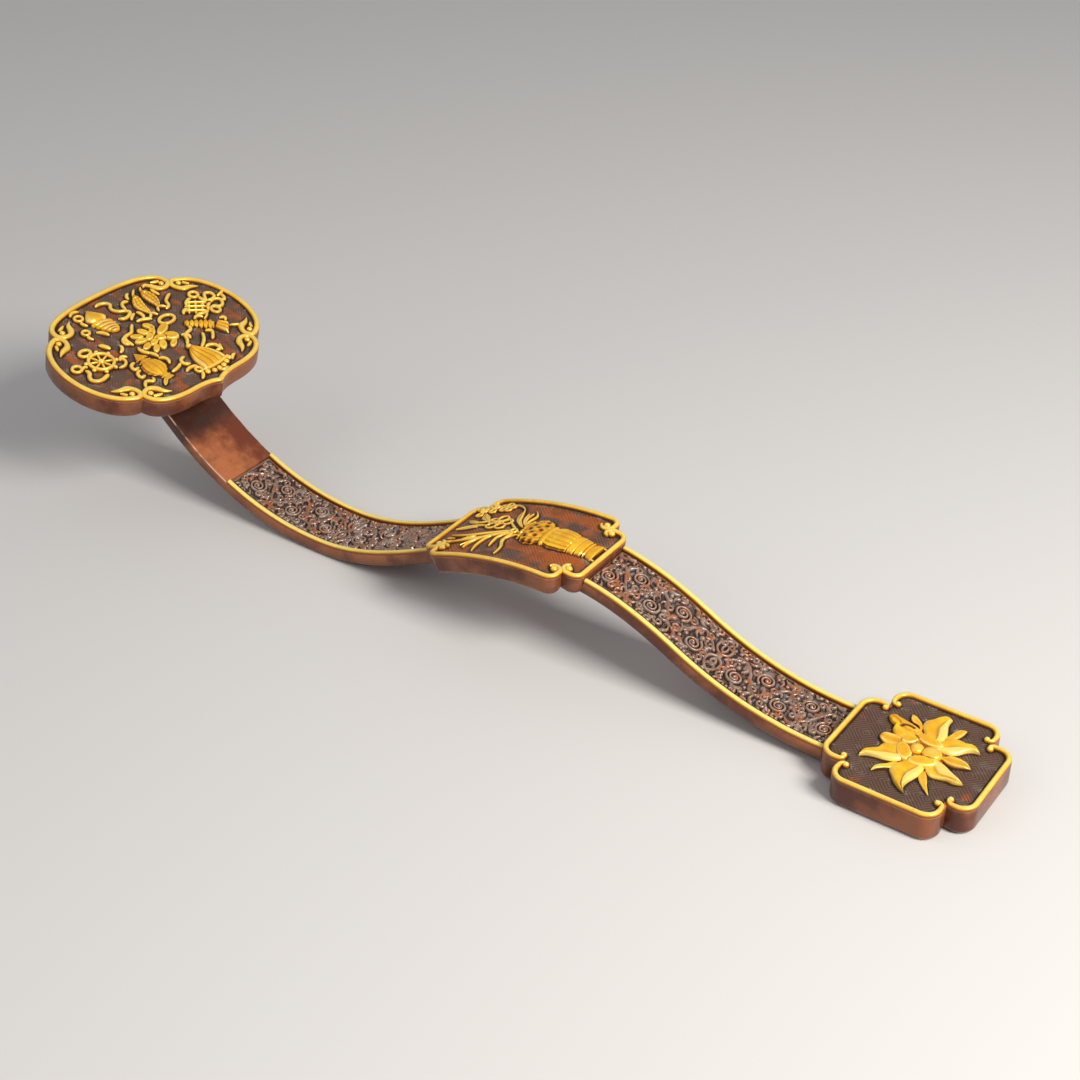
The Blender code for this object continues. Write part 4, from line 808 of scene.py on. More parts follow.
def clustered(centre, reach, floor, parts, around=170, steps=64):
    """Ovals that crowd and overlap, as rings round one centre: each part (u, y, half length, half width,
    turn, height, cup) is as high as the fourth root of 1 less its squared distance, sinks by the share cup to
    its middle, the highest part shows, and there is a dark line of painted shade between them. A cupped part
    has a painted highlight in a ring near its edge and painted shade in its middle, the others a painted
    highlight at their tops, and the floor between them is painted with shade."""
    angle = np.arange(around) / around * 2 * math.pi
    radius = np.linspace(reach, 0.1, steps)[:, None]
    u, y = centre[0] + radius * np.cos(angle), centre[1] + radius * np.sin(angle)
    edge = clamped((radius / reach - 0.7) / 0.3)
    floor = np.broadcast_to(floor - (floor - FLOOR) * edge, u.shape)
    foot = np.minimum(floor, 0.0)
    heights, pale, middle = [floor], [np.zeros_like(u)], [np.zeros_like(u)]
    for middle_u, middle_y, length, width, turn, top, cup in parts:
        cosine, sine = circle(math.radians(turn))
        along = ((u - middle_u) * cosine + (y - middle_y) * sine) / length
        across = ((y - middle_y) * cosine - (u - middle_u) * sine) / width
        near = clamped(1 - along**2 - across**2)
        oval = near**0.25 * (1 - cup * near**2)
        heights.append(np.where(oval > 0, foot + (top - foot) * oval, FLOOR))
        ring = min(cup / 0.2, 1.0)
        pale.append(0.8 * ring * np.exp(-((near - 0.3) / 0.17)**2) + 0.5 * (1 - ring) * near**2)
        middle.append(0.24 * ring * near**2)
    highest = np.argmax(np.stack(heights), axis=0)
    ordered = np.sort(np.stack(heights), axis=0)
    h, bare = ordered[-1], ordered[-1] <= floor + 0.02
    line = np.exp(-((h - ordered[-2]) / 0.4)**2)
    low = np.maximum(clamped(1.1 - 1.3 * h), np.choose(highest, middle))
    hollow = np.where(bare, 0.85, np.maximum(0.95 * line, low))
    highlight = np.choose(highest, pale) * (1 - line)
    return np.stack([u, y, h - 0.25 * line * ~bare], axis=-1), {"hollow": hollow, "highlight": highlight}


def lotus_forms():
    """The lotus: cupped petals that crowd round its middle, a bud's ring, a leaf and ribbons."""
    flower = clustered((-0.2, 0.0), 12.6, FLOOR, (
        (-2.1, 5.9, 4.6, 1.9, -66, 1.7, 0.3), (3.5, 5.5, 3.3, 2.6, 55, 1.8, 0.3),
        (7.4, 2.8, 2.8, 1.4, -60, 1.5, 0.3), (-7.0, 2.6, 2.8, 1.5, 25, 1.5, 0.3),
        (-3.7, 1.3, 2.8, 1.5, -40, 1.7, 0.3), (-5.5, -2.1, 2.9, 1.6, 25, 1.6, 0.3),
        (-1.5, -2.2, 2.8, 1.6, -60, 1.8, 0.3), (1.6, 1.0, 3.0, 1.7, 70, 1.9, 0.3),
        (5.4, -1.4, 3.1, 1.7, -40, 1.6, 0.3), (2.2, -3.3, 2.7, 1.4, -75, 1.7, 0.3),
        (-4.9, -6.3, 2.9, 1.4, 50, 1.4, 0.3), (-1.7, -7.0, 3.0, 1.5, 75, 1.6, 0.3),
        (2.3, -7.6, 2.8, 1.4, -70, 1.45, 0.3), (5.7, -5.5, 2.8, 1.4, -50, 1.5, 0.3)),
        around=220, steps=74)
    leaf = ribbons(1.8, [(-8.6, -10.0), (-5.4, -11.6), (-1.6, -11.4)])
    return [flower, hoop((-5.8, 12.2), (2.5, 3.8), 1.7)] + leaf + ribbons(
        RIBBON, [(0.6, -11.2), (4.0, -11.6), (6.6, -9.4)], [(5.6, 9.0), (7.6, 11.2), (9.6, 10.6)],
        [(-9.8, 7.6), (-11.6, 4.6), (-12.4, 1.0)],
        [(-12.2, -1.8), (-10.4, -3.9), (-8.4, -6.0), (-7.8, -10.0), (-6.4, -12.8), (-4.2, -13.4),
         (-3.0, -12.2)])


def knot_forms():
    """The endless knot: three strips laid over three that cross them, two rings and ribbons."""
    middle, down, up = np.array([-4.4, 28.2]), np.array([0.72, -0.69]), np.array([0.58, 0.81])
    shifts, run = (-2.9, 0.0, 2.9), np.array([[-4.8], [0.0], [4.8]])
    rails = ribbons(1.2, *(middle + shift * up + run * down for shift in shifts))
    bars = ribbons(1.2, *(middle + shift * down + run * up for shift in shifts), height=1.35)
    rings = [hoop((2.1, 33.7), (2.1, 1.8), 1.6), hoop((-11.1, 33.8), (1.9, 2.0), 1.6)]
    tails = ribbons(1.2, [(1.4, 29.4), (2.9, 27.2), (3.9, 24.8)])
    tails += ribbons(1.8, [(-9.0, 34.6), (-6.8, 34.3), (-4.8, 35.0)])
    return rails + bars + rings + tails + ribbons(
        RIBBON, [(-10.0, 31.0), (-9.4, 27.8), (-7.4, 25.6)], [(0.6, 31.0), (0.8, 27.6), (-0.6, 24.9)],
        [(-4.6, 35.4), (-7.2, 36.6), (-8.8, 38.6), (-7.6, 40.5), (-5.2, 40.4), (-4.0, 38.2), (-4.8, 35.4)],
        [(-2.8, 36.0), (-3.5, 38.6), (-2.0, 40.5), (0.4, 39.7), (1.8, 37.4), (0.9, 35.6), (-1.0, 35.2)],
        [(-4.8, 35.2), (-4.4, 32.6), (-2.6, 30.6)], [(-2.6, 35.4), (-1.6, 32.8), (0.4, 31.2)],
        [(-5.6, 46.0), (-4.6, 43.6), (-4.4, 41.4)], [(-4.4, 43.2), (-2.2, 43.2), (-0.6, 41.8), (-1.8, 40.9)],
        [(-5.6, 24.6), (-5.6, 22.6), (-3.8, 20.4)])


def banner_forms():
    """The victory banner: a ringed body that widens, its ribbed flag, a knob and ribbons."""
    profile = [(0.0, 0.6), (0.3, 1.9)]
    for k in range(6):
        near, wide = 0.5 + 1.95 * k, 2.2 + 0.2 * k
        profile += [(near, wide - 0.8), (near + 0.9, wide), (near + 1.75, wide - 1.1)]
    body = turned_form((0.4, 16.2), 47.0, profile + [(12.6, 2.2), (12.9, 0.5)], 0.6)
    flag = blade([(9.0, 28.2), (12.2, 31.2)], [(11.4, 23.6), (17.6, 25.4)], 1.7, cup=-0.1,
                 lift=(1.0, 1.0), count=14, ribs=3)
    staff = ribbons(1.2, [(13.4, 30.2), (14.8, 32.2), (16.2, 34.2)]) + [boss((16.4, 34.6), 1.0, 1.3)]
    return [body, flag] + staff + ribbons(
        RIBBON, [(7.3, 30.4), (8.4, 32.4), (10.2, 31.2)],
        [(9.8, 19.2), (11.8, 21.2), (13.2, 20.2), (15.6, 17.4)],
        [(9.8, 17.2), (12.8, 15.2), (15.0, 12.6), (16.6, 9.8)],
        [(2.8, 16.0), (5.3, 15.0), (6.0, 12.2), (7.0, 10.0), (9.0, 9.0), (11.6, 6.4)],
        [(1.4, 21.5), (0.6, 24.0), (2.6, 25.5)])


def umbrella_forms():
    """The umbrella: a ribbed dome, its hem with a row of knobs, a finial and ribbons."""
    dome = blade([(14.0, 6.6), (17.0, 9.4), (19.4, 11.6), (22.4, 13.0), (28.0, 14.2)],
                 [(14.6, 4.6), (17.6, 1.9), (20.4, 0.4), (24.0, -0.4), (28.6, -0.6)],
                 1.7, cup=-0.4, lift=(0.75, 0.85), count=30, ribs=5)
    fringe = [boss(place, 1.35, 1.2, around=12)
              for place in ((28.6, 13.6), (29.8, 10.9), (30.8, 8.2), (31.0, 5.4), (30.9, 2.6), (29.8, -0.2))]
    hem = ribbons(1.5, [(27.9, -1.2), (28.6, 2.0), (28.7, 6.0), (28.4, 10.0), (27.6, 14.2)], height=1.7)
    return [dome, boss((13.2, 5.7), 1.5, 1.7), hoop((26.5, -2.2), (1.5, 1.3))] + hem + fringe + ribbons(
        RIBBON, [(17.6, 11.2), (17.8, 13.8), (19.8, 15.6), (22.2, 14.9), (21.8, 13.0)],
        [(19.8, 17.4), (21.4, 16.0), (23.4, 15.6)], [(28.4, 17.6), (29.0, 15.4), (30.4, 14.0)],
        [(16.8, -0.6), (17.8, -3.6), (20.4, -3.9), (21.4, -1.8)], [(24.4, -0.8), (23.4, -3.8), (24.4, -7.2)],
        [(28.0, -2.0), (30.2, -3.4), (31.6, -5.4)], [(31.6, 4.6), (33.0, 6.4), (32.6, 9.0)])


def urn_forms():
    """The treasure urn: a fluted turned body on a foot, a leaf, a knob and ribbons."""
    profile = [(0, 0.2), (1.6, 1.3), (4.6, 3.3), (5.0, 1.7), (5.7, 1.7), (6.3, 3.4), (7.0, 3.0), (8.6, 4.5),
               (10.8, 5.3), (13.3, 5.3), (15.2, 4.1), (16.8, 2.3), (17.6, 1.9), (18.2, 2.6), (18.9, 2.1),
               (20.2, 2.8), (20.6, 0.5)]
    body = turned_form((2.3, -15.1), 0.0, profile, 0.36, flutes=5)
    leaf = petal((21.8, -16.4), (25.0, -20.0), 1.8, 1.1)
    return [body, leaf, boss((3.2, -11.4), 1.0, 1.1)] + ribbons(
        RIBBON, [(10.8, -9.6), (13.0, -7.4), (16.2, -8.6)], [(18.8, -5.0), (20.2, -8.0), (20.6, -11.8)],
        [(5.6, -10.4), (8.2, -9.2), (10.2, -8.8)], [(7.0, -19.4), (7.9, -22.2), (10.2, -22.8), (10.2, -20.2)],
        [(12.0, -21.0), (13.4, -24.0), (15.6, -24.2), (15.4, -21.8)],
        [(18.2, -20.6), (20.2, -22.0), (18.7, -24.2), (21.2, -27.2)],
        [(2.4, -19.0), (1.0, -21.0), (2.4, -23.0)])


def wheel_forms():
    """The wheel: a rim on eight spokes that end in knobs, a hub, two rings and ribbons."""
    centre = np.array([-1.8, -29.5])
    spread = circle(np.radians(np.arange(8) * 45 + 20.0))
    spokes = ribbons(1.0, *([centre + 1.0 * out, centre + 5.0 * out] for out in spread), height=1.0)
    knobs = [boss(centre + 6.4 * out, 1.05, 1.15, around=10) for out in spread]
    rings = [hoop(centre, (5.1, 5.3), 1.6, 1.4, count=48), hoop((-9.9, -30.8), (1.9, 2.6), 1.7),
             hoop((-4.3, -40.5), (1.9, 2.0), 1.5)]
    tails = ribbons(2.4, [(-10.4, -22.6), (-8.2, -21.4), (-5.8, -20.4)])
    tails += ribbons(1.5, [(1.2, -22.0), (3.8, -21.5), (5.7, -23.5), (5.4, -26.6)])
    tails += ribbons(2.0, [(-1.6, -38.4), (0.6, -38.4), (2.6, -40.2), (4.6, -40.8), (6.2, -39.6),
                           (6.8, -37.2), (6.4, -35.0), (5.8, -32.8)])
    tails += ribbons(RIBBON, [(-2.8, -38.6), (-3.4, -37.4), (-2.6, -36.2)],
                     [(-5.2, -16.0), (-3.0, -16.6), (-1.4, -19.2)])
    return spokes + knobs + rings + [boss(centre, 1.6, 1.6)] + tails


def conch_forms():
    """The conch: a flared lip, a shell of overlapping whorls, two rings and ribbons."""
    lip = blade([(-29.4, -10.9), (-26.6, -8.0), (-23.2, -6.0), (-21.3, -7.6)],
                [(-29.4, -11.5), (-27.2, -14.2), (-24.4, -16.2), (-22.0, -14.0)],
                1.9, cup=-0.2, lift=(0.7, 1.0), count=18)
    shell = clustered((-17.8, -10.4), 7.6, FLOOR, (
        (-20.3, -11.0, 5.1, 1.7, 76, 1.9, 0), (-18.3, -10.6, 4.8, 1.5, 76, 1.8, 0),
        (-16.5, -10.3, 4.2, 1.4, 76, 1.65, 0), (-15.0, -10.0, 3.3, 1.2, 76, 1.5, 0),
        (-13.8, -9.8, 2.2, 1.0, 76, 1.35, 0)), around=120, steps=44)
    rings = [hoop((-28.4, -16.6), (1.7, 1.8)), hoop((-19.5, -21.0), (1.5, 1.6))]
    leaf = ribbons(1.9, [(-17.2, -17.4), (-15.4, -15.6), (-12.6, -14.4)])
    return [lip, shell] + rings + leaf + ribbons(
        RIBBON, [(-30.1, -5.5), (-30.4, -2.5), (-29.0, 0.0), (-27.4, 0.5), (-25.9, -0.9), (-24.0, -1.3),
                 (-22.0, 0.0), (-20.5, 2.5), (-18.9, 3.5), (-17.4, 1.5), (-16.9, -1.5), (-18.4, -3.6)],
        [(-26.6, -17.2), (-24.0, -17.8), (-22.6, -16.8)], [(-18.0, -21.4), (-15.8, -22.2), (-14.4, -21.4)],
        [(-31.8, -13.2), (-32.8, -16.0), (-31.4, -18.4)])


def fish_forms(back, belly, eye, tail):
    """One fish: its scaly body between two drawn edges, an eye and a forked tail."""
    body = blade(back, belly, 1.5, cup=-0.35, lift=(0.85, 0.8), count=40, ribs=3, bands=7)
    return [body, boss(eye, 0.8, 2.1, around=10)] + ribbons(1.5, *tail)


def inner_fish_forms():
    """The fish nearer the conch, with the ribbons round it."""
    back = [(-25.4, 12.4), (-22.5, 13.5), (-19.0, 12.4), (-15.4, 11.0), (-12.8, 10.4)]
    belly = [(-25.4, 11.9), (-23.4, 9.2), (-20.0, 7.1), (-16.2, 7.5), (-12.8, 9.6)]
    tail = ([(-13.2, 10.0), (-11.8, 11.0), (-10.4, 11.6)], [(-13.2, 9.8), (-11.8, 8.8), (-10.8, 7.2)])
    whisker = ribbons(1.3, [(-29.2, 16.2), (-27.2, 13.7), (-25.6, 12.2)])
    return fish_forms(back, belly, (-23.6, 11.4), tail) + whisker + ribbons(
        RIBBON, [(-28.6, 12.2), (-27.6, 10.2), (-25.4, 9.4)], [(-17.2, 5.6), (-14.4, 6.2), (-12.0, 5.0)],
        [(-24.5, 8.2), (-25.2, 5.6), (-23.6, 4.0), (-21.2, 3.8)], [(-17.0, 4.4), (-16.0, 2.0), (-14.4, 0.2)])


def outer_fish_forms():
    """The fish nearer the rim, with the ribbons round it."""
    back = [(-26.0, 17.4), (-23.4, 19.7), (-19.6, 20.2), (-16.2, 18.6), (-14.0, 16.2)]
    belly = [(-26.0, 16.8), (-23.4, 14.9), (-19.6, 14.6), (-16.4, 14.9), (-14.0, 15.4)]
    tail = ([(-14.4, 15.9), (-13.4, 17.4), (-12.2, 18.4)], [(-14.4, 15.7), (-13.2, 14.4), (-11.8, 13.8)])
    whisker = ribbons(1.3, [(-28.8, 19.6), (-27.4, 18.2), (-26.2, 17.4)])
    return fish_forms(back, belly, (-24.0, 17.3), tail) + whisker + ribbons(
        RIBBON, [(-25.2, 22.2), (-22.8, 21.8), (-20.2, 22.4)], [(-27.6, 23.4), (-28.6, 21.6), (-27.8, 20.4)],
        [(-17.8, 26.4), (-16.6, 23.4), (-14.8, 21.0), (-12.4, 20.0), (-11.2, 17.2)])


for node, forms in (("lotus_relief", lotus_forms()), ("knot_relief", knot_forms()),
                    ("banner_relief", banner_forms()), ("umbrella_relief", umbrella_forms()),
                    ("urn_relief", urn_forms()), ("wheel_relief", wheel_forms()),
                    ("conch_relief", conch_forms()), ("inner_fish_relief", inner_fish_forms()),
                    ("outer_fish_relief", outer_fish_forms())):
    head_forms += forms
    add_piece(node.replace("relief", "carving"), forms, on_head, GILT, [node])


# The head's ground: a thin inlay of dark lacquer, hatched in squares that run two ways. Dust and wax gather
# on it round the reliefs and the rim, where no cloth reaches, and painted shade darkens it beside them and in
# its grooves.

GROUND_INSET, GROUND_THICKNESS, SQUARE, HATCH, HATCH_DEPTH = 1.1, 0.9, 6.5, 1.1, 0.17
SHADE_REACH, SHADE_CELL, SHADE_GAIN = 60.0, 0.5, 2.3
GROOVE_DEPTHS = np.array([1.0, 0.4, 0.0, 0.4])


def ground_finish():
    """Dark lacquer cut in fine lines: red-brown where the dark top shows wear, grey with dust and wax where
    it does not, painted with shade that is nearly black round the reliefs, and with shade in the grooves."""
    finish = Finish("ground_lacquer", Coat_Weight=0.1, Coat_Roughness=0.15, Specular_IOR_Level=0.3)
    hollow, block, shadow = finish.painted("hollow"), finish.painted("block"), finish.painted("shadow")
    film = finish.patches(110.0, 4.0, 0.4, 0.62)
    dust = finish.patches(230.0, 4.0, 0.5, 0.68)
    patch = finish.between(block + (finish.noise(120.0, 4.0) - 0.5) * 2.8, 0.2, 0.8)
    # The shadow paint is painted shade round the reliefs, darker near them and nearly black next to them, and
    # the hollow paint is painted shade in the grooves.
    near = finish.between(shadow, 0.05, 0.6)
    base = finish.layered((0.13, 0.075, 0.05, 1), (patch, (0.42, 0.1, 0.013, 1)),
                          (film * 0.5, (0.11, 0.055, 0.038, 1)), (near * 0.75, (0.07, 0.045, 0.035, 1)),
                          (dust * (near * 0.75 + 0.12), (0.38, 0.33, 0.3, 1)),
                          (finish.between(shadow, 0.4, 0.95) * 0.9, (0.012, 0.007, 0.005, 1)),
                          (hollow * 0.7, (0.02, 0.01, 0.008, 1)))
    finish.shade(Base_Color=base, Roughness=film * 0.2 + dust * 0.1 + 0.28)
    finish.rough(finish.noise(900.0, 2.0), 0.02)
    return finish.material


GROUND = ground_finish()


def nearness(forms):
    """A map of how near each spot is to a raised form: 1 where one stands, and the mean over a
    few cells round every spot, so that it fades out about 2 mm away."""
    spots = np.concatenate([rings[rings[..., 2] > 0.05][:, :2] for rings, paint in forms])
    edges = np.arange(-SHADE_REACH, SHADE_REACH + SHADE_CELL, SHADE_CELL)
    near = (np.histogram2d(spots[:, 0], spots[:, 1], bins=(edges, edges))[0] > 0).astype(float)
    for axis in (0, 1) * 4:
        near = (np.roll(near, 1, axis) + near + np.roll(near, -1, axis)) / 3
    return near


def add_skirt(mesh):
    """Carry a surface's border straight down and close it below."""
    shell = bmesh.new()
    shell.from_mesh(mesh)
    rim = [edge for edge in shell.edges if edge.is_boundary]
    skirt = bmesh.ops.extrude_edge_only(shell, edges=rim)["geom"]
    corners = [item for item in skirt if isinstance(item, bmesh.types.BMVert)]
    bmesh.ops.translate(shell, verts=corners, vec=(0.0, 0.0, -GROUND_THICKNESS * MM))
    lower = [item for item in skirt if isinstance(item, bmesh.types.BMEdge)]
    bmesh.ops.holes_fill(shell, edges=lower, sides=0)
    shell.to_mesh(mesh)
    shell.free()


def hatched_ground(name, outline, surface, node, forms, contrast, warmth, clear):
    """The ground: a lattice turned by 45 degrees and cut into V grooves, which run one way in one colour of
    the squares and the other way in the other, with a skirt and an underside. Each square is as red as
    warmth, and a sine of its place moves that by contrast. The grooves are painted with shade by the share
    clear of their depth, and the ground is painted with shade by how near it lies to the raised forms."""
    edge = inset(outline, GROUND_INSET)
    step = HATCH / 4
    reach = int(np.abs(edge).sum(axis=1).max() / math.sqrt(2) / step)
    marks = np.arange(-reach, reach + 1)
    first, second = [grid * step for grid in np.meshgrid(marks, marks, indexing="ij")]
    u, y = (first - second) / math.sqrt(2), (first + second) / math.sqrt(2)
    angle = np.arctan2(edge[:, 1], edge[:, 0])
    order = np.argsort(angle)
    bound = np.interp(np.arctan2(y, u), angle[order], np.hypot(*edge[order].T), period=2 * math.pi)
    inside = np.hypot(u, y) < bound
    column, row = np.floor(u / SQUARE), np.floor(y / SQUARE)
    odd = (column + row) % 2
    deep = GROOVE_DEPTHS[np.where(odd > 0, marks[:, None], marks[None, :]) % 4]
    patches = np.sin(column * 12.99 + row * 78.23 + 1.0) * (0.6 + 0.4 * odd)
    tone = np.clip(warmth + contrast * patches, min(warmth, 0.0), 1.0)
    # Painted shade beside the raised forms.
    near = nearness(forms)
    cell = ((np.stack([u, y]) + SHADE_REACH) / SHADE_CELL).astype(int).clip(0, len(near) - 1)
    shadow = clamped(near[cell[0], cell[1]] * SHADE_GAIN)
    i, j = np.argwhere(inside[:-1, :-1] & inside[1:, :-1] & inside[:-1, 1:] & inside[1:, 1:]).T
    number = np.arange(marks.size**2).reshape(marks.size, marks.size)
    quads = np.stack([number[i, j], number[i + 1, j], number[i + 1, j + 1], number[i, j + 1]], axis=1)
    used, faces = np.unique(quads, return_inverse=True)
    flat = np.stack([u, y, -deep * HATCH_DEPTH], axis=-1).reshape(-1, 3)[used]
    mesh = bpy.data.meshes.new(name)
    mesh.from_pydata(surface(flat).tolist(), [], faces.reshape(-1, 4).tolist())
    for key, values in (("hollow", clear * deep), ("block", tone), ("shadow", shadow)):
        values = values.ravel()[used].astype(np.float32)
        mesh.attributes.new(key, "FLOAT", "POINT").data.foreach_set("value", values)
    add_skirt(mesh)
    finish_piece(name, mesh, GROUND, [node], sharp=60.0)


hatched_ground("head_ground_hatching", head_outline(), on_head, "head_ground", head_forms,
               contrast=0.5, warmth=0.28, clear=0.5)


# The saddle: a cartouche-shaped board bent over the bar's arch, with a notch at each corner, its
# own hatched ground, a gilt rim and a relief of a vase with blossom and orchid leaves.

SADDLE_MIDDLE, SADDLE_RISE, SADDLE_THICKNESS = 136.3, 2.3, 7.75
SADDLE_SIZE = (71.4, 47.8, 28.8, 17.6, 4.5)
SADDLE_CURL, SADDLE_KNOB = ((5.1, 1.1), (6.9, 1.3), (8.2, 2.8), (8.0, 4.8), (6.8, 5.6)), (6.3, 3.5, 1.45)
BOARD_BAND, LOBE_STEP, UNDERCUT = 2.05, 1.2, 0.4


def on_saddle(flat):
    """(u, y, h) on the saddle, bent over the bar's arch, in metres."""
    return on_shaft(flat - np.array([SADDLE_MIDDLE, 0.0, -SADDLE_RISE]))


def turned(points, quarters):
    """Points turned about the centre by quarter turns."""
    cosine, sine = circle(quarters * math.pi / 2)
    return np.asarray(points) @ np.array([[cosine, sine], [-sine, cosine]])


def lobe(reach, half, radius):
    """A round-shouldered lobe that points along +u: two quarter rounds and a straight edge."""
    angle = np.radians(np.linspace(-90.0, 0.0, 11))
    lower = np.array([reach - radius, radius - half]) + radius * circle(angle)
    count = int(2 * (half - radius) / LOBE_STEP)
    places = np.linspace(radius - half, half - radius, count + 2)[1:-1]
    edge = np.stack([np.full(count, reach), places], axis=1)
    return np.concatenate([lower, edge, (lower * OVER_Y)[::-1]])


def cartouche(length, width, notch_u, notch_y, radius):
    """A board's outline: a lobe to each side, with a small undercut notch between each two."""
    sides = [lobe(length / 2, notch_y, radius), lobe(width / 2, notch_u, radius)]
    notch = np.array([notch_u - UNDERCUT, notch_y - UNDERCUT])
    points = []
    for index, corner in enumerate((SAME, OVER_U, OVER_BOTH, OVER_Y)):
        points += [turned(sides[index % 2], index), [notch * corner]]
    return np.concatenate(points)


def cartouche_rim(size, index, curl, knob):
    """One rim strip: a lobe's edge, and at each end a curl into the board round a round knob. The
    curl's points and the knob are given inwards from the lobe's reach and its half width."""
    length, width, notch_u, notch_y, radius = size
    reach, half = ((length / 2, notch_y), (width / 2, notch_u))[index % 2]
    middle = BOARD_BAND / 2 + 0.05
    crown = lobe(reach - middle, half - middle, radius - middle)
    end = np.array([reach, half]) - np.array(curl)
    path = turned(along_line(np.concatenate([(end * OVER_Y)[::-1], crown[1:-1:2], end])), index)
    run = run_of(path)
    from_tip = np.minimum(run, run[-1] - run)
    width = np.interp(from_tip, (0.0, 1.5, 5.0), (0.9, 1.7, BOARD_BAND))
    spot = np.array([reach - knob[0], half - knob[1]])
    knobs = [boss(turned(spot * sign, index), knob[2], 1.45) for sign in (OVER_Y, SAME)]
    return [stroke(path, width, RIM_RISE)] + knobs


def board_with_rim(name, size, thickness, surface, curl, knob, reliefs, contrast, warmth, clear):
    """A board with its four rim strips, its reliefs and the ground that lies between them."""
    outline = cartouche(*size)
    add_piece(name + "_board_form", [board_form(outline, thickness)], surface, LACQUER,
              [name + "_board"], slices=name == "saddle")
    raised = []
    for index, quarter_name in enumerate(("tail", "right", "head", "left")):
        forms = cartouche_rim(size, index, curl, knob)
        raised += forms
        rim = f"{name}_rim_{quarter_name}"
        add_piece(rim + "_band", forms, surface, GILT, [rim])
    for node, piece, forms in reliefs:
        raised += forms
        add_piece(piece, forms, surface, GILT, [node])
    ground = name + "_ground"
    hatched_ground(ground + "_hatching", outline, surface, ground, raised, contrast, warmth, clear)


def pitted(form, spots, radius, depth):
    """A form with small pits: near each spot it sinks by depth times a bell curve of the distance and is
    painted with shade.
    """
    rings, paint = form
    away = np.linalg.norm(rings[..., None, :2] - np.asarray(spots), axis=-1)
    pit = np.exp(-(away / radius)**2).max(axis=-1) * (rings[..., 2] > 0)
    rings[..., 2] -= depth * pit
    return rings, {"hollow": np.maximum(paint["hollow"], clamped(2.0 * pit))}


def vase_forms():
    """The vase: a turned lip, a ribbed belly, a stepped foot and two small feet."""
    lip = [(0, 5.9), (0.4, 6.7), (1.1, 6.9), (1.8, 6.2), (2.0, 5.2)]
    belly = [(0, 6.2), (2.6, 7.3), (7.4, 6.9), (9.6, 6.2), (10.0, 5.4)]
    foot = [(0, 5.3), (0.4, 6.0), (2.6, 5.9), (3.0, 5.1), (3.4, 5.6), (5.2, 5.3), (6.0, 4.2), (6.5, 5.2),
            (7.2, 4.2), (7.8, 4.8), (9.8, 5.3), (10.3, 4.2)]
    feet = ribbons(1.6, *([(32.0, y), (33.4, y)] for y in (-4.2, 4.6)), height=0.9)
    parts = ((10.0, lip, 0), (12.0, belly, 7), (22.1, foot, 0))
    return [turned_form((u, 0.3), 0.0, profile, 0.34, flutes) for u, profile, flutes in parts] + feet


def flower_bowl_forms():
    """The flower bowl: a turned and ribbed bowl, its small holes shallow pits painted dark with shade."""
    bowl = [(0, 4.6), (0.5, 6.8), (1.2, 7.0), (1.7, 5.8), (3.0, 8.2), (5.5, 9.2), (8.0, 8.5), (9.6, 6.8),
            (10.2, 6.0)]
    holes = [(3.7, 6.5), (2.9, 3.5), (6.2, 7.6), (7.5, 4.5), (5.4, 2.0), (7.3, 0.7), (3.0, 0.4), (4.6, -1.7),
             (7.0, -3.0), (4.0, -6.3), (6.6, -6.0), (2.8, -4.0)]
    return [pitted(turned_form((-0.5, 1.0), 0.0, bowl, 0.27, flutes=6), holes, radius=0.85, depth=0.8)]


def slender(points, width, height=0.8):
    """A thin leaf or stem: widest in its middle, pointed at its tip."""
    path = along_line(points, 0.45)
    t = np.linspace(0.0, 1.0, len(path))
    return stroke(path, 0.4 + (width - 0.4) * np.sin(clamped(t * 1.05) * math.pi)**0.6, height)


def orchid_forms():
    """The orchid: long bent leaves, each a little higher than the last, and its small flowers."""
    blades = [((-0.5, -3.2), (-4.0, -8.0), (-1.2, -14.0), (-0.6, -19.0)),
              ((-3.0, -3.0), (-3.8, -8.0), (-1.0, -12.6)),
              ((-3.5, -3.2), (-7.2, -7.0), (-7.0, -10.5), (-6.0, -14.4)),
              ((-4.0, -3.0), (-10.5, -6.5), (-11.8, -12.0), (-10.2, -19.6)),
              ((-3.6, -2.6), (-12.0, -7.0), (-18.2, -15.8)), ((-4.0, -2.0), (-12.0, -7.5), (-24.5, -12.8)),
              ((-5.0, -1.6), (-12.6, -4.8), (-20.5, -7.4), (-28.0, -7.6)),
              ((-11.0, -7.6), (-15.0, -11.0), (-15.6, -17.6)),
              ((-24.5, -12.6), (-27.0, -12.8), (-29.0, -11.4))]
    leaves = [slender(points, 1.2, 0.75 + 0.04 * index) for index, points in enumerate(blades)]
    flowers = [hoop((-3.6, -1.6), (1.2, 1.4), 1.0), petal((-21.0, -7.4), (-17.6, -10.6), 1.8, 1.0),
               petal((-25.4, -9.8), (-29.4, -9.4), 1.6, 1.0)]
    return leaves + flowers + ribbons(1.1, [(-21.5, -11.0), (-19.0, -10.2), (-17.0, -7.5)])


def open_blossom(centre, radius):
    """A blossom: five ring-shaped petals round a heart."""
    turns = np.radians(np.arange(5) * 72 + 20)
    spots = np.asarray(centre) + radius * 0.62 * circle(turns)
    petals = [hoop(spot, radius * 0.37, 0.95, 0.75, count=20) for spot in spots]
    return petals + [boss(centre, radius * 0.2, 0.9)]


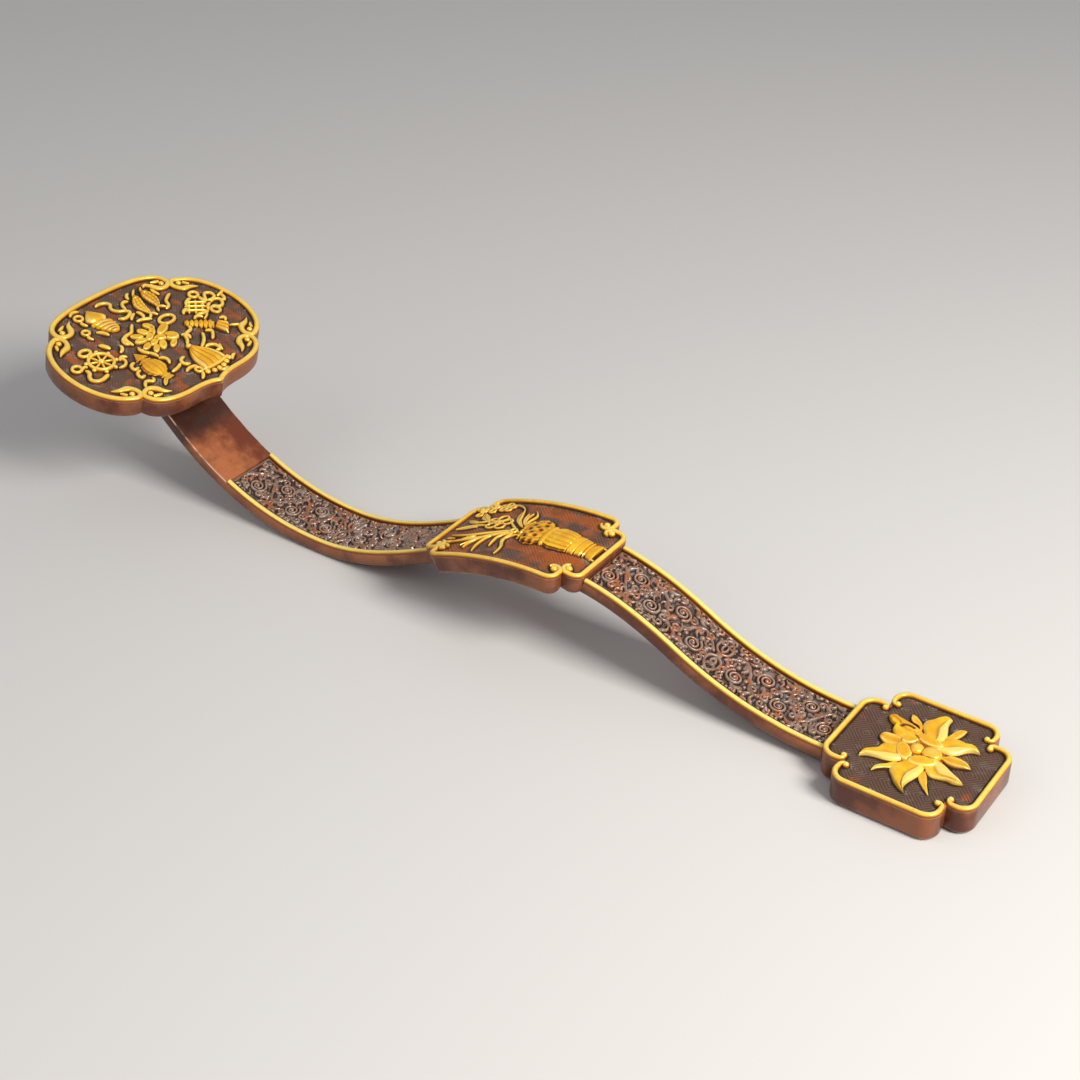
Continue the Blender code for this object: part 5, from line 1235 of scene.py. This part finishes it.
def spray_forms():
    """The blossom spray: thin stems with pointed leaves, ring-shaped buds and two open blossoms."""
    stems = [((0.0, -2.6), (-5.0, 1.0), (-11.0, 6.5)), ((-2.0, 2.0), (-6.0, 5.2), (-7.6, 9.0), (-10.0, 15.0)),
             ((-1.0, 3.0), (-4.2, 6.0), (-6.0, 12.2)),
             ((-10.0, 15.0), (-15.0, 18.4), (-20.5, 17.5), (-28.0, 18.8)),
             ((-11.0, 6.5), (-19.0, 5.0), (-25.0, 10.8)), ((-17.0, 1.0), (-22.0, 1.2), (-30.5, -2.0)),
             ((-0.6, 2.4), (-2.4, 6.4), (-2.0, 11.4), (-4.4, 14.8)), ((-1.4, 4.0), (-4.6, 8.4), (-4.2, 12.6)),
             ((-19.0, 5.0), (-24.0, 3.6), (-29.0, 5.0))]
    leaf_edges = (([(-10.0, 15.0), (-8.4, 11.0), (-5.6, 6.4), (-2.4, 2.6)],
                   [(-10.0, 15.0), (-9.8, 10.2), (-7.6, 5.8), (-2.4, 2.6)]),
                  ([(-30.5, -2.0), (-27.0, 0.6), (-22.0, 1.4)], [(-30.5, -2.0), (-26.0, -1.8), (-22.0, 0.0)]),
                  ([(-26.4, 11.6), (-23.0, 9.8), (-20.0, 4.9)], [(-26.4, 11.6), (-24.6, 6.6), (-20.0, 4.9)]),
                  ([(-30.0, 6.0), (-26.0, 5.4), (-23.0, 3.4)], [(-30.0, 6.0), (-27.0, 3.0), (-23.0, 3.4)]))
    leaves = [blade(left, right, 1.0) for left, right in leaf_edges]
    buds = [hoop(place, (1.3, 1.3), 0.9, 0.75, count=18)
            for place in ((-31.0, 15.6), (-27.6, 18.4), (-28.6, 10.6), (-24.4, 13.6))]
    blossoms = open_blossom((-14.4, 4.0), 5.4) + open_blossom((-19.4, 16.8), 3.4)
    return [slender(points, 1.2) for points in stems] + leaves + buds + blossoms


board_with_rim("saddle", SADDLE_SIZE, SADDLE_THICKNESS, on_saddle, SADDLE_CURL, SADDLE_KNOB,
               (("vase_relief", "vase_relief_carving", vase_forms()),
                ("flower_bowl_relief", "flower_bowl_relief_carving", flower_bowl_forms()),
                ("orchid_leaves", "orchid_leaves_carving", orchid_forms()),
                ("blossom_spray", "blossom_spray_carving", spray_forms())),
               contrast=0.7, warmth=0.85, clear=0.7)


# The tail board: a level cartouche with one open flower in high relief on its hatched ground. Its
# petals are wide, waved and folded, and four inner petals clasp its heart.

TAIL_MIDDLE, TAIL_THICKNESS = 29.1, 10.5
TAIL_SIZE = (57.6, 57.8, 20.2, 19.1, 6.1)
TAIL_CURL, TAIL_KNOB = ((6.9, 1.1), (8.4, 1.3), (9.6, 2.6)), (8.9, 3.2, 1.25)


def on_tail(flat):
    """(u, y, h) on the level tail board, in metres."""
    return (flat + np.array([TAIL_JOINT_X + TAIL_MIDDLE, 0.0, TAIL_THICKNESS])) * MM


PETAL_STEPS, PETAL_HEIGHT = 56, 1.95
WIDE_PETALS = (
    ([(-2.7, 11), (-4.8, 14.3), (-5.1, 17.0), (-3.4, 19.1), (-1.6, 21.6), (0.8, 23.1), (2.9, 22.5)],
     [(4.8, 9.8), (5.3, 12.6), (4.2, 16.0), (3.0, 19.4), (2.9, 22.5)], 0.35, 0.3),
    ([(-4.3, 4.3), (-7.7, 3.9), (-10.8, 4.6), (-12.6, 6.6), (-12.8, 9.0), (-14.6, 9.8), (-16.6, 12.2)],
     [(-2.6, 10.6), (-5.6, 12.4), (-9.0, 13.2), (-12.4, 13.3), (-15.2, 13.6), (-16.6, 12.6)], 0.3, 0.1),
    ([(-6.4, 1), (-9.3, -0.6), (-12.0, -2.8), (-12.4, -5.4), (-14.0, -7.3), (-15.3, -9.0), (-15.8, -12.8)],
     [(-2.3, -6.5), (-4.6, -8.8), (-7.9, -10), (-11.2, -10.6), (-13.8, -11.4), (-15.8, -12.8)], 0.35, 0.2),
    ([(-1.8, -6.9), (-4.0, -10.6), (-4.1, -13.4), (-2.1, -16.0), (-0.1, -18.4), (2.0, -20.1), (5.6, -21.7)],
     [(5.5, -5.7), (6.2, -9.0), (5.2, -13.0), (4.2, -16.4), (4.1, -19.2), (5.6, -21.7)], 0.45, 0.15),
    ([(5.0, -4.5), (6.5, -7.2), (9.0, -9.1), (12.0, -8.7), (14.2, -8.0), (17.0, -8.1), (20.0, -6.6)],
     [(7.8, -0.2), (11.0, -0.9), (14.0, -2.8), (17.0, -4.9), (20.0, -6.6)], 0.05, -0.35),
    ([(4.8, 10.0), (6.4, 13.0), (9.0, 14.3), (12.0, 13.8), (14.2, 14.1), (16.2, 13.0), (18.4, 11.2)],
     [(7.4, 4.6), (10.0, 4.9), (12.2, 6.6), (14.0, 9.2), (16.2, 10.8), (18.4, 11.2)], 0.1, 0.3))
PLAIN_PETALS = (
    ([(-7.7, 4.2), (-11.2, 4.3), (-13.6, 3.4), (-14.7, 1.2)],
     [(-7.7, -1.1), (-10.6, -2.6), (-13.2, -1.2), (-14.7, 0.8)]),
    ([(8.6, 2.4), (10.6, 4.6), (13.2, 5.1), (15.8, 4.5), (18.8, 2.3)],
     [(8.6, 1.0), (10.9, 0.0), (13.8, -0.1), (16.2, 0.8), (18.8, 2.3)]))
SMALL_PETALS = (
    ([(-5.4, 15.2), (-7.4, 16.9), (-10.2, 18.1)], [(-6, 13.7), (-8.8, 14.4), (-10.2, 18.1)]),
    ([(-6, -11.1), (-8.3, -13.6), (-8.9, -17.3)], [(-3.9, -12.3), (-6.4, -14.2), (-8.9, -17.3)]),
    ([(6.3, -12.2), (9, -15.3), (12.6, -18)], [(8.6, -10.3), (10.3, -14), (12.6, -18)]),
    ([(5.5, 15.4), (6.2, 18.2), (9.4, 20.4)], [(8.2, 14.2), (9.3, 16.8), (9.4, 20.4)]))


def rooted(edge, share):
    """A petal's edge carried in under the flower's heart."""
    return [tuple(share * np.array(edge[0]) + (1 - share) * SAME)] + edge


def folded_petal(left, right, fold_root, fold_tip):
    """A wide petal between two drawn edges, whose right edge is turned over. Across it, s runs from -1 to 1:
    the height rises in a round at the left edge, sinks towards the fold, and steps up there to the
    turned-over band. Along it, it sinks behind the root and lifts to the tip. It is painted with shade along
    the fold, at its root and at its edges, and with a highlight on the turned-over band and along its left
    edge."""
    left, right = drawn(left, PETAL_STEPS), drawn(right, PETAL_STEPS)
    s = np.sin(np.linspace(-math.pi / 2, math.pi / 2, 39))
    t = np.linspace(0.0, 1.0, PETAL_STEPS)[:, None]
    share = ((s + 1) / 2)[None, :, None]
    plan = left[:, None] * (1 - share) + right[:, None] * share
    fold = fold_root + (fold_tip - fold_root) * t + 0.1 * np.sin(2.6 * math.pi * t)
    step = 1 / (1 + np.exp(-(s - fold) / 0.03))
    leaf = 0.86 - 0.3 * clamped((s + 1) / (fold + 1))**2
    band = 1.0 - 0.14 * clamped((s - fold) / (1 - fold))
    crown = (leaf * (1 - step) + band * step) * (1 - s**8)
    rise = 0.95 - 0.2 * np.sin(math.pi * clamped(t * 1.15)) + 0.15 * t
    h = PETAL_HEIGHT * rise * crown * np.minimum(1.0, (1.02 - t) * 6)**0.5
    h[:, [0, -1]] = SUNK
    # Painted shade along the fold, at the root and at the edges, and a painted highlight on the turned-over
    # band and the left edge.
    beside = np.clip(fold - s, 0.0, 2.0)
    line = 0.75 * np.exp(-(beside / 0.11)**2) * (1 - step)
    fading = 0.5 * np.exp(-(beside / 0.45)**2) * (1 - step) * (0.4 + 0.6 * np.sin(math.pi * t)**2)
    root = 0.55 * clamped(1.0 - t / 0.45)
    edge = 0.85 * clamped((np.abs(s) - 0.965) / 0.02)
    hollow = np.maximum(np.maximum(line, fading), np.maximum(root, edge))
    highlight = np.maximum(0.75 * step * (1 - root), np.exp(-((s + 0.86) / 0.09)**2) * 0.8 * np.ones_like(t))
    return np.concatenate([plan, h[..., None]], axis=-1), {"hollow": hollow, "highlight": highlight}


def flower_forms():
    """The open flower: four small and two plain petals under six wide folded ones."""
    small = [blade(rooted(left, 0.75), rooted(right, 0.75), 1.1, cup=0.2) for left, right in SMALL_PETALS]
    plain = [blade(rooted(left, 0.6), rooted(right, 0.6), 1.7, cup=0.4, lift=(0.8, 1.0), count=24)
             for left, right in PLAIN_PETALS]
    wide = [folded_petal(rooted(left, 0.5), rooted(right, 0.5), root, tip)
            for left, right, root, tip in WIDE_PETALS]
    holes = drawn([(-10.6, 9.5), (-8.6, 10.5), (-6.2, 10.3)], 12)
    wide[1] = pitted(wide[1], holes, radius=0.55, depth=0.4)
    return small + plain + wide


def heart_forms():
    """The heart: a bud and a low dome side by side, clasped by four petals."""
    return [clustered((1.0, 0.9), 9.2, 0.9, (
        (-0.6, 0.9, 2.5, 2.7, 0, 2.5, 0), (4.9, 1.2, 3.6, 3.3, 10, 2.65, 0.04),
        (-3.8, -2.7, 4.9, 2.7, -54, 2.2, 0.2), (3.8, -4.2, 5.4, 2.8, 24, 2.35, 0.2),
        (1.2, 7.0, 6.0, 2.4, -8, 2.4, 0.2), (-4.6, 4.4, 3.6, 2.2, 50, 2.1, 0.2)))]


board_with_rim("tail", TAIL_SIZE, TAIL_THICKNESS, on_tail, TAIL_CURL, TAIL_KNOB,
               (("tail_flower", "tail_flower_petals", flower_forms()),
                ("tail_flower_heart", "tail_flower_heart_petals", heart_forms())),
               contrast=0.25, warmth=-0.12, clear=1.0)


# The pegs: bamboo pins under the inlaid grounds, which hold the boards to the bar. They are never
# seen, so their solids stay as they are, in split bamboo.

def bamboo_finish():
    """Split bamboo: pale straw with fine fibres along the pin."""
    finish = Finish("bamboo")
    fibre = finish.patches(700.0, 3.0, 0.35, 0.7, (1.0, 1.0, 0.08))
    base = finish.layered((0.42, 0.28, 0.12, 1), (fibre, (0.62, 0.46, 0.23, 1)))
    finish.shade(Base_Color=base, Roughness=fibre * 0.1 + 0.5)
    return finish.material


BAMBOO = bamboo_finish()
for name in ("head_peg_1", "head_peg_2", "saddle_peg_1", "saddle_peg_2", "tail_peg"):
    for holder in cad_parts[name].material_slots:
        holder.material = BAMBOO
